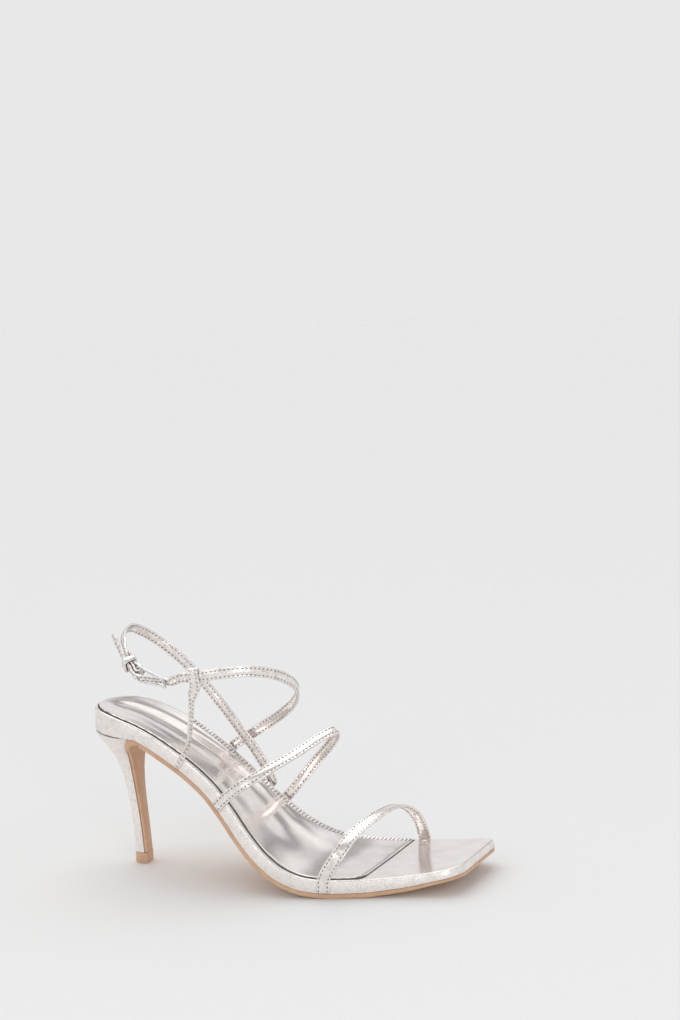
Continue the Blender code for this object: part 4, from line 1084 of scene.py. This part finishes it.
def tucked_end(station, side):
    """Centre points and face directions of a strap end, from under the insole and up its wall."""
    top, out, up, depth = edge_frame(station, side)
    half = STRAP_THICKNESS / 2
    bend = half + TUCK_BEND
    low = depth - half - GAP / 2
    stand = GAP + half
    points = []
    for inside in (TUCK, TUCK / 2, bend - stand + TUCK_MARGIN):
        points.append((top - low * up - inside * out, -up))
    centre = top - (low - bend) * up + (stand - bend) * out
    for cos, sin in arc(-75, -15, 30):
        way = cos * out + sin * up
        points.append((centre + bend * way, way))
    for share in (0.55, 0.25, -0.12):
        points.append((top - share * depth * up + stand * out, out.copy()))
    return points


def direction(turn, tilt):
    """The way that looks this far round from the toe and this far up, in degrees."""
    turn, tilt = math.radians(turn), math.radians(tilt)
    return Vector((math.cos(tilt) * math.cos(turn), math.cos(tilt) * math.sin(turn), math.sin(tilt)))


def free_points(route):
    """World points and face directions of a strap's free rows."""
    made = []
    for row in route:
        height = row.height * STRAP_HEIGHT
        x = row.along * SOLE_LENGTH - HEEL_SETBACK + STRAP_LEAN * (height - (1 - row.along) * HEEL_HEIGHT)
        z = height + STRAP_LEAN * (LEAN_CENTRE - row.along) * SOLE_LENGTH
        made.append((Vector((x, row.across * BALL_WIDTH, z)), direction(row.turn, row.tilt)))
    return made


def slope_at(before, at, after, run, next_run):
    """The slope at the middle one of three points of a curve."""
    return (at - before) / run - (after - before) / (run + next_run) + (after - at) / next_run


def hermite(a, b, start, end, share):
    """A point between a and b on the curve that leaves and arrives with these slopes."""
    square, cube = share**2, share**3
    ends = a * (2 * cube - 3 * square + 1) + b * (3 * square - 2 * cube)
    return ends + start * (cube - 2 * square + share) + end * (cube - square)


def through(points, spacing=STRAP_STEP):
    """Even points on a smooth curve through these points, with the face directions eased between them."""
    spread = [points[0]] + list(points) + [points[-1]]
    made = [points[0]]
    for a, b, c, d in zip(spread, spread[1:], spread[2:], spread[3:]):
        runs = [max(0.01 * MM, (q[0] - p[0]).length) ** 0.5 for p, q in ((a, b), (b, c), (c, d))]
        chord = c[0] - b[0]
        start = slope_at(a[0], b[0], c[0], runs[0], runs[1]) * runs[1] if a is not b else chord
        end = slope_at(b[0], c[0], d[0], runs[1], runs[2]) * runs[1] if d is not c else chord
        count = max(1, round(chord.length / spacing))
        for i in range(1, count + 1):
            face = b[1].lerp(c[1], ease(i / count)).normalized()
            made.append((hermite(b[0], c[0], start, end, i / count), face))
    return made


def frames(line):
    """Each point of a line with its run, its face direction squared to the run, and the direction across."""
    made = []
    for i, (point, face) in enumerate(line):
        run = (line[min(i + 1, len(line) - 1)][0] - line[max(i - 1, 0)][0]).normalized()
        across = run.cross(face).normalized()
        made.append((point, run, across.cross(run), across))
    return made


def strap_section(side, rows):
    """A quarter of a strap's section, from the middle of its face to the middle of its edge."""
    half = STRAP_THICKNESS / 2
    groove = STITCH_GROOVE / MM if rows else 0.0
    sewn_at = ((-0.42, 0.0), (-0.15, -groove), (0.15, -groove), (0.42, 0.02))
    face = [(share * side, rise) for share, rise in STRAP_CROWN]
    face += [(side - STITCH_INSET + aside * MM, rise) for aside, rise in sewn_at]
    face += [(side - inset * MM, rise) for inset, rise in FOLDED_EDGE]
    return [(across, half + rise * MM) for across, rise in face]


def strap_strip(name, line, width, shares=None, rows=True):
    """A strap swept along a line, with folded edges and, where it is sewn, a groove under each stitch row."""
    rings = []
    for i, (point, _, face, across) in enumerate(frames(line)):
        side = width / 2 * (shares[i] if shares else 1)
        quarter = strap_section(side, rows)
        ring = [(a, n) for a, n in quarter] + [(a, -n) for a, n in quarter[-2::-1]]
        ring += [(-a, -n) for a, n in quarter[1:]] + [(-a, n) for a, n in quarter[-2:0:-1]]
        rings.append([point + a * across + n * face for a, n in ring])
    return loft(name, rings, [STRAP_LEATHER], sharp=50)


def strap_rows(line, width, start, end, faces=(1, -1), shares=None):
    """The stitch rows of a strap, on each of its faces, between two lengths along it."""
    total = lengths(line)
    rows = []
    for up in faces:
        for side in (-1, 1):
            row = []
            for i, ((point, _, face, across), at) in enumerate(zip(frames(line), total)):
                if start <= at <= total[-1] - end:
                    lift = STRAP_THICKNESS / 2 - THREAD_SINK
                    aside = width / 2 * (shares[i] if shares else 1) - STITCH_INSET
                    place = point + side * aside * across + up * lift * face
                    row.append((place, up * face))
            rows.append(row)
    return rows


def lengths(line):
    """How far along the line each of its points lies."""
    total, made = 0.0, [0.0]
    for (a, _), (b, _) in zip(line, line[1:]):
        total += (b - a).length
        made.append(total)
    return made


def strap_surface(place):
    """Crackled foil leather, finer and brighter than on the wall, dull where the strap has been flexed."""
    edge, plate = foil_plates(place, STRAP_CRACKLE_CELL)
    crack = (1 - between(edge, 0.03, 0.18)) * between(noise_of(place, 2.5 * MM, 2.0), 0.35, 0.80)
    wear = between(noise_of(place, 1.2 * MM, 4.0, 0.7), 0.45, 0.85)
    return {
        "Base Color": mixed(crack, mixed(wear, FOIL, FOIL_DULL), FOIL_CRACK),
        "Metallic": 0.95 - 0.35 * crack,
        "Roughness": 0.20 + 0.12 * wear + 0.25 * crack,
        "Normal": bumped(plate * 0.4 - crack * 0.8 + noise_of(place, 0.4 * MM) * 0.2, 0.06 * MM),
    }


STRAP_LEATHER = make_finish("crackled_strap_leather", {}, strap_surface)
TOE_STRAP = Strap("toe_strap", TOE_ENDS, TOE_ROUTE, TOE_STRAP_WIDTH)
INSTEP_STRAP = Strap("instep_strap", INSTEP_ENDS, INSTEP_ROUTE, STRAP_WIDTH)
for strap in (TOE_STRAP, INSTEP_STRAP):
    lateral, medial = tucked_end(strap.ends[0], -1), tucked_end(strap.ends[1], 1)
    line = through(lateral + free_points(strap.route) + medial[::-1])
    leather = strap_strip(strap.node + "_leather", line, strap.width)
    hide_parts(strap.node)
    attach(leather, "root")
    stitching = sewn(strap.node + "_stitching", strap_rows(line, strap.width, TUCK, TUCK), STRAP_STITCH_PITCH)
    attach(stitching, "root")


# Back strap. It is folded round the buckle's hinge bar and sewn to itself, and runs behind the ankle and down
# the inner side to the waist. A slot in the fold lets the prong out.
BUCKLE_LENGTH = 18.6 * MM
BUCKLE_WIDTH = 10.8 * MM
BUCKLE_WIRE = 1.6 * MM
BUCKLE_CORNER = 1.6 * MM
BUCKLE_LEAN = 46  # degrees that its outer face looks down
BUCKLE_LIFT = 2.6 * MM  # how far the outer bar stands off the hinge bar's line
PRONG_WIRE = 1.1 * MM
PRONG_STAND = 1.9 * MM  # from the hinge bar to where the prong comes through the strap
FOLD_CLOSE = 3.5 * MM  # the run in which a fold's legs close behind its core
FOLD_FADE = 9 * MM  # the run in which the strap comes back to its middle line
BACK_FOLD = 14 * MM
BACK_END = 0.432
BACK_ROW_START = 0.8 * MM
BACK_ROW_GAP = 8 * MM  # from the fold to the start of the rows on the inner face
SLOT_MARGIN = 1 * MM
HINGE_CORE = BUCKLE_WIRE / 2 + GAP  # radius of the core that the back strap folds round
STACK = STRAP_THICKNESS + 2 * GAP  # between the middles of two straps that lie on each other
BUCKLE_FRONT = Point(0.250, -0.442, 0.848, 176, 16)
BACK_ROUTE = (
    Point(0.152, -0.384, 0.906, -138, -18),
    Point(0.132, -0.329, 0.946, -148, -4),
    Point(0.112, -0.253, 0.973, -155, 12),
    Point(0.096, -0.158, 0.991, -164, 26),
    Point(0.086, -0.044, 1.002, -176, 34),
    Point(0.084, 0.105, 0.994, 156, 30),
    Point(0.110, 0.225, 0.952, 122, 16),
    Point(0.155, 0.300, 0.885, 104, 6),
    Point(0.215, 0.322, 0.795, 94, 2),
    Point(0.285, 0.300, 0.677, 90, 4),
    Point(0.352, 0.236, 0.566, 84, 8),
    Point(0.404, 0.236, 0.454, 86, 6),
)


def frame_at(line, at):
    """A line's frame at a length along it, between the two nearest points."""
    along = lengths(line)
    i = next(k for k in range(1, len(along)) if along[k] >= at)
    share = (at - along[i - 1]) / (along[i] - along[i - 1])
    first, second = frames(line)[i - 1:i + 1]
    point, run, face, across = (a.lerp(b, share) for a, b in zip(first, second))
    return point, run.normalized(), face.normalized(), across.normalized()


def leg_spread(core, core_run, at):
    """How far each leg of a folded strap lies from its middle line: wide round the core, then nearly shut."""
    near = (STRAP_THICKNESS + GAP) / 2
    return blend(core + STRAP_THICKNESS / 2, near, ease((at - core_run) / FOLD_CLOSE))


def folded(line, core, core_run, fold):
    """The line of a strap whose start is doubled back round a core, and sewn down where the fold ends."""
    along = lengths(line)
    back = []
    front = []
    for at in [at for at in along if at < fold - STRAP_STEP / 2] + [fold]:
        point, _, face, _ = frame_at(line, at)
        spread = leg_spread(core, core_run, at)
        back.append((point - spread * face, -face))
        front.append((point + spread * face, face))
    for (point, _, face, _), at in zip(frames(line), along):
        if at > fold + STRAP_STEP / 2:
            spread = leg_spread(core, core_run, at) * (1 - ease((at - fold) / FOLD_FADE))
            front.append((point + spread * face, face))
    start, run, face, _ = frames(line)[0]
    ways = [sin * face - cos * run for cos, sin in arc(-75, 75, 15)]
    cap = [(start + (core + STRAP_THICKNESS / 2) * way, way) for way in ways]
    return back[::-1] + cap + front


def buckle_axes():
    """The buckle's outer bar, its hinge bar, and the directions along the strap, outwards and across it."""
    along = direction(BUCKLE_FRONT.turn, BUCKLE_FRONT.tilt)
    lean = Matrix.Rotation(-math.radians(BUCKLE_LEAN), 3, along)
    up = lean @ (Vector((0, 0, 1)) - along * along.z).normalized()
    out = up.cross(along).normalized()
    under = free_points([BUCKLE_FRONT])[0][0]
    outer_bar = under + (BUCKLE_WIRE / 2 + GAP + STRAP_THICKNESS / 2) * out
    hinge_bar = outer_bar + (BUCKLE_LENGTH - BUCKLE_WIRE) * along - BUCKLE_LIFT * out
    return under, outer_bar, hinge_bar, along, out, up


UNDER_BAR, OUTER_BAR, HINGE_BAR, BUCKLE_RUN, BUCKLE_OUT, BUCKLE_UP = buckle_axes()


def carve(made, cutters):
    """Cuts these closed shapes out of a piece and keeps the result as its mesh."""
    for cutter in cutters:
        modifier = made.modifiers.new(cutter.name, "BOOLEAN")
        modifier.operation = "DIFFERENCE"
        modifier.solver = "EXACT"
        modifier.object = cutter
    evaluated = made.evaluated_get(bpy.context.evaluated_depsgraph_get())
    mesh = bpy.data.meshes.new_from_object(evaluated)
    made.modifiers.clear()
    made.data = mesh
    for cutter in cutters:
        bpy.data.objects.remove(cutter)


def slot_cutter(centre, first, second, size):
    """A block of this size, turned along two directions, for the slot that lets the prong out."""
    bm = bmesh.new()
    bmesh.ops.create_cube(bm, size=1)
    turn = Matrix((first, second, first.cross(second))).transposed().to_4x4()
    bm.transform(Matrix.Translation(centre) @ turn @ Matrix.Diagonal((*size, 1)))
    return placed("slot_cutter", bm)


back_points = [(HINGE_BAR, BUCKLE_OUT)] + free_points(BACK_ROUTE) + tucked_end(BACK_END, 1)[::-1]
back_line = through(back_points)
folded_back_line = folded(back_line, HINGE_CORE, 0, BACK_FOLD)
back_strap = strap_strip("back_strap_leather", folded_back_line, STRAP_WIDTH)
slot_reach = 2 * (HINGE_CORE + STRAP_THICKNESS) + SLOT_MARGIN
slot_size = (slot_reach, slot_reach, PRONG_WIRE + 2 * GAP)
carve(back_strap, [slot_cutter(HINGE_BAR, BUCKLE_RUN, BUCKLE_OUT, slot_size)])
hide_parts("back_strap")
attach(back_strap, "root")
back_rows = strap_rows(folded_back_line, STRAP_WIDTH, BACK_ROW_START, TUCK, faces=(1,))
back_rows += strap_rows(folded_back_line, STRAP_WIDTH, 2 * BACK_FOLD + BACK_ROW_GAP, TUCK, faces=(-1,))
back_stitching = sewn("back_strap_stitching", back_rows, STRAP_STITCH_PITCH)
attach(back_stitching, "root")


# Ankle strap. It crosses from the inner waist over the instep to the outer side, goes through the side
# strap's loop and the buckle, and its tail lies on the back strap. Its holes are punched for the prong.
KEEPER_PLACE = 7.5 * MM  # from the buckle's hinge bar
ANKLE_END = 0.330
HOLE_DIAMETER = 1.5 * MM
HOLE_PITCH = 4.4 * MM
HOLE_START = 0.7  # from the outer bar to the first spare hole, in pitches
SPARE_HOLES = 3
BAR_REACH = (-2 * MM, 1 * MM)  # the run in which it lies straight under the outer bar
TAIL_TIP = 5 * MM  # length in which the tail narrows to its end
TAIL_TIP_SHARE = 0.5
ANKLE_ROUTE = (
    Point(0.398, 0.285, 0.545, 88, 6),
    Point(0.480, 0.222, 0.650, 55, 8),
    Point(0.526, 0.105, 0.738, 20, 8),
    Point(0.538, -0.045, 0.812, -8, 6),
    Point(0.514, -0.205, 0.872, -42, 4),
    Point(0.460, -0.350, 0.902, -72, 2),
    Point(0.395, -0.430, 0.896, -87, 0),
    Point(0.325, -0.446, 0.874, -90, -8),
    Point(0.285, -0.446, 0.865, -92, -24),
)
TAIL_ROUTE = (
    Point(0.113, -0.385, 0.990, -138, -12),
    Point(0.099, -0.372, 1.020, -134, -12),
)


def ankle_strap_line():
    """From the inner waist to the buckle, under its outer bar, over the hinge bar and through the keeper."""
    over = HINGE_BAR + (leg_spread(HINGE_CORE, 0, 0) + STACK + GAP) * BUCKLE_OUT
    middle = UNDER_BAR.lerp(over, 0.5)
    points = tucked_end(ANKLE_END, 1) + free_points(ANKLE_ROUTE)
    points += [(UNDER_BAR + reach * BUCKLE_RUN, BUCKLE_OUT) for reach in BAR_REACH]
    points += [(middle, BUCKLE_OUT), (over, BUCKLE_OUT)]
    for share in (0.25, 0.5, 0.75, 1, 1.25):
        at = share * KEEPER_PLACE
        point, _, face, _ = frame_at(back_line, at)
        stand = leg_spread(HINGE_CORE, 0, at) + STACK + GAP * max(0, 1 - 2 * share)
        points.append((point + stand * face, face))
    return through(points + free_points(TAIL_ROUTE))


def nearest_frame(line, spot):
    return min(frames(line), key=lambda row: (row[0] - spot).length)


def hole_cutter(centre, axis, diameter):
    """A round punch through the strap."""
    bm = bmesh.new()
    size = {"radius1": diameter / 2, "radius2": diameter / 2, "depth": 3 * STRAP_THICKNESS}
    bmesh.ops.create_cone(bm, cap_ends=True, segments=20, **size)
    turn = Vector((0, 0, 1)).rotation_difference(axis).to_matrix().to_4x4()
    bm.transform(Matrix.Translation(centre) @ turn)
    return placed("hole_cutter", bm)


ankle_line = ankle_strap_line()
from_tip = [lengths(ankle_line)[-1] - at for at in lengths(ankle_line)]
tip_shares = [blend(TAIL_TIP_SHARE, 1, ease(at / TAIL_TIP)) for at in from_tip]
ankle_strap = strap_strip("ankle_strap_leather", ankle_line, STRAP_WIDTH, tip_shares)
above_fold = leg_spread(HINGE_CORE, 0, 0) + STRAP_THICKNESS
pierced = HINGE_BAR - PRONG_STAND * BUCKLE_RUN + above_fold * BUCKLE_OUT
punched = [hole_cutter(pierced, BUCKLE_OUT, PRONG_WIRE + 3 * GAP)]
for i in range(SPARE_HOLES):
    spot, _, face, _ = nearest_frame(ankle_line, UNDER_BAR - (HOLE_START + i) * HOLE_PITCH * BUCKLE_RUN)
    punched.append(hole_cutter(spot, face, HOLE_DIAMETER))
carve(ankle_strap, punched)
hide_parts("ankle_strap")
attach(ankle_strap, "root")
ankle_rows = strap_rows(ankle_line, STRAP_WIDTH, TUCK, TAIL_TIP)
ankle_stitching = sewn("ankle_strap_stitching", ankle_rows, STRAP_STITCH_PITCH)
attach(ankle_stitching, "root")


# Side strap. It stands on the outer waist, drawn in narrow at the sole, and is folded over the ankle strap
# and sewn to itself, which makes the loop that holds it.
LOOP_ROW = 7  # row of ANKLE_ROUTE at which the loop holds the ankle strap
SIDE_FOLD = 10.5 * MM
SIDE_END = 0.288
SIDE_PINCH = 0.55  # share of its width to which the strap is drawn in
PINCH_RUN = 8 * MM
SIDE_ROW_GAP = 4 * MM  # from the fold to the start of its rows
SIDE_ROUTE = (
    Point(0.318, -0.437, 0.787, -76, 0),
    Point(0.311, -0.419, 0.681, -42, 2),
    Point(0.304, -0.403, 0.586, -20, 6),
)


def side_strap_line():
    """The folded strap from the loop down to the sole, and how much of it lies below the fold."""
    held = free_points([ANKLE_ROUTE[LOOP_ROW]])[0][0]
    point, _, face, across = nearest_frame(ankle_line, held)
    top = point + STRAP_WIDTH / 2 * across
    start = [(top - share * STRAP_WIDTH * across, face) for share in (0, 0.35, 0.7, 1.1)]
    line = through(start + free_points(SIDE_ROUTE) + tucked_end(SIDE_END, -1)[::-1])
    return folded(line, STRAP_THICKNESS / 2 + GAP, STRAP_WIDTH, SIDE_FOLD), lengths(line)[-1] - SIDE_FOLD


side_line, below_loop = side_strap_line()
from_sole = [lengths(side_line)[-1] - at for at in lengths(side_line)]
side_shares = [blend(SIDE_PINCH, 1, ease((at - below_loop + PINCH_RUN) / PINCH_RUN)) for at in from_sole]
side_strap = strap_strip("side_strap_leather", side_line, STRAP_WIDTH, side_shares, rows=False)
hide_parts("side_strap")
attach(side_strap, "root")
side_rows = strap_rows(side_line, STRAP_WIDTH, SIDE_FOLD + SIDE_ROW_GAP, TUCK, faces=(1,), shares=side_shares)
side_stitching = sewn("side_strap_stitching", side_rows, STRAP_STITCH_PITCH)
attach(side_stitching, "root")


# Keeper. A narrow band of the strap leather, closed round the folded back strap. It holds the ankle strap's
# tail down.
KEEPER_WIDTH = 3.4 * MM
KEEPER_SLACK = 0.4 * MM
KEEPER_EDGE = 0.3 * MM
KEEPER_WALL = 1.0 * MM
KEEPER_SHOULDER = 0.85  # where its chamfers begin, as a share of half its width


def keeper():
    """Sections round the band's four rounded corners, each with its own chamfered edges."""
    ends = {}
    shoulder = KEEPER_SHOULDER
    for shift in (-1, -shoulder, shoulder, 1):
        at = KEEPER_PLACE + shift * KEEPER_WIDTH / 2
        spread = leg_spread(HINGE_CORE, 0, at)
        low = -(spread + STRAP_THICKNESS / 2 + KEEPER_SLACK)
        high = spread + STACK + STRAP_THICKNESS / 2 + KEEPER_SLACK
        ends[shift] = (frame_at(back_line, at), low + KEEPER_EDGE, high - KEEPER_EDGE)
    side = STRAP_WIDTH / 2 + KEEPER_SLACK - KEEPER_EDGE
    profile = [(0, -shoulder), (0, shoulder), (0.2, 1), (0.8, 1)]
    profile += [(1, shoulder), (1, -shoulder), (0.8, -1), (0.2, -1)]
    rings = []
    for right, raised, first in ((1, 1, 0), (-1, 1, 90), (-1, 0, 180), (1, 0, 270)):
        for cos, sin in arc(first, first + 90, 15):
            ring = []
            for reach, shift in profile:
                (point, _, face, across), low, high = ends[shift]
                corner = point + right * side * across + (high if raised else low) * face
                way = cos * across + sin * face
                ring.append(corner + (KEEPER_EDGE + reach * KEEPER_WALL) * way)
            rings.append(ring)
    return loft("keeper_band", rings, [STRAP_LEATHER], ring_shaped=True)


keeper_band = keeper()
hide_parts("keeper")
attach(keeper_band, "root")


# Buckle. A rectangle of polished plated wire, with a wire prong whose eye turns on the hinge bar. The prong
# comes up through the strap's hole and rests on the outer bar.
PLATE = (0.74, 0.74, 0.76, 1)
PLATE_DULL = (0.62, 0.62, 0.64, 1)
WIRE_SIDES = 16
PRONG_RISE = (0.6, 0.85)  # points on its way up through the strap, as shares of the height
PRONG_TURN = 0.6 * MM  # from the hole to where it has turned towards the outer bar
PRONG_LEVEL = 2.2 * MM  # from the hole to where it has bowed out
PRONG_DROP = 3 * MM  # from where it starts down to the outer bar
PRONG_BOW = 0.4 * MM  # how far the prong bows outwards on its way
PRONG_END = 1.2 * MM  # past the outer bar's middle
PRONG_TIP = 0.6  # its thickness at the end, as a share
PRONG_TAPER = 0.2  # share of its length in which it thins


def plated_surface(place):
    """Bright plating with faint clouds of dullness and shallow ripples."""
    cloud = noise_of(place, 2.2 * MM, 3.0)
    return {
        "Base Color": mixed(between(cloud, 0.4, 0.8), PLATE, PLATE_DULL),
        "Roughness": 0.07 + 0.14 * cloud,
        "Normal": bumped(noise_of(place, 0.9 * MM), 0.01 * MM),
    }


def wire(name, points, thickness, closed, tip=1.0):
    """A round wire along a line, drawn down to a share of its thickness at its end."""
    count = len(points)
    rings = []
    side = None
    for i, point in enumerate(points):
        after = points[(i + 1) % count] if closed else points[min(i + 1, count - 1)]
        before = points[i - 1] if closed else points[max(i - 1, 0)]
        run = (after - before).normalized()
        side = (side or BUCKLE_OUT) - run * run.dot(side or BUCKLE_OUT)
        side.normalize()
        across = run.cross(side)
        taper = ease((i / (count - 1) - 1 + PRONG_TAPER) / PRONG_TAPER)
        radius = thickness / 2 * blend(1, tip, taper)
        ring = []
        for step in range(WIRE_SIDES):
            turn = 2 * math.pi * step / WIRE_SIDES
            ring.append(point + radius * (math.cos(turn) * side + math.sin(turn) * across))
        rings.append(ring)
    return loft(name, rings, [PLATED], ring_shaped=closed)


def frame_route():
    """The middle of the frame's wire, round its four corners."""
    run = (HINGE_BAR - OUTER_BAR).normalized()
    middle = (HINGE_BAR + OUTER_BAR) / 2
    length = (HINGE_BAR - OUTER_BAR).length / 2 - BUCKLE_CORNER
    width = (BUCKLE_WIDTH - BUCKLE_WIRE) / 2 - BUCKLE_CORNER
    corners = ((length, width, 0), (-length, width, 90), (-length, -width, 180), (length, -width, 270))
    points = []
    for a, b, first in corners:
        for way in arc(first, first + 90, 15):
            reach = BUCKLE_CORNER * Vector(way)
            points.append(middle + (a + reach.x) * run + (b + reach.y) * BUCKLE_UP)
    return points


def prong_route():
    """The middle of the prong's wire: its eye, up through the hole, and down to rest on the outer bar."""
    eye = HINGE_CORE + PRONG_WIRE / 2
    ways = [cos * BUCKLE_RUN + sin * BUCKLE_OUT for cos, sin in arc(60, -180, -20)]
    points = [HINGE_BAR + eye * way for way in ways]
    over = leg_spread(HINGE_CORE, 0, 0) + STACK + STRAP_THICKNESS / 2 + 2 * GAP + PRONG_WIRE / 2
    stand = HINGE_BAR - PRONG_STAND * BUCKLE_RUN
    points += [stand + share * over * BUCKLE_OUT for share in PRONG_RISE]
    points.append(stand - PRONG_TURN * BUCKLE_RUN + over * BUCKLE_OUT)
    points.append(stand - PRONG_LEVEL * BUCKLE_RUN + (over + PRONG_BOW) * BUCKLE_OUT)
    rest = OUTER_BAR + (BUCKLE_WIRE / 2 + GAP + PRONG_WIRE / 2) * BUCKLE_OUT
    points += [rest + PRONG_DROP * BUCKLE_RUN + PRONG_BOW * BUCKLE_OUT, rest - PRONG_END * BUCKLE_RUN]
    return [point for point, _ in through([(point, BUCKLE_UP) for point in points], 0.5 * MM)]


PLATED = make_finish("polished_plated_wire", {"Metallic": 1.0}, plated_surface)
buckle_frame = wire("buckle_frame_wire", frame_route(), BUCKLE_WIRE, True)
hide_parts("buckle_frame")
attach(buckle_frame, "root")
buckle_prong = wire("buckle_prong_wire", prong_route(), PRONG_WIRE, False, PRONG_TIP)
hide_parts("buckle_prong")
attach(buckle_prong, "root")
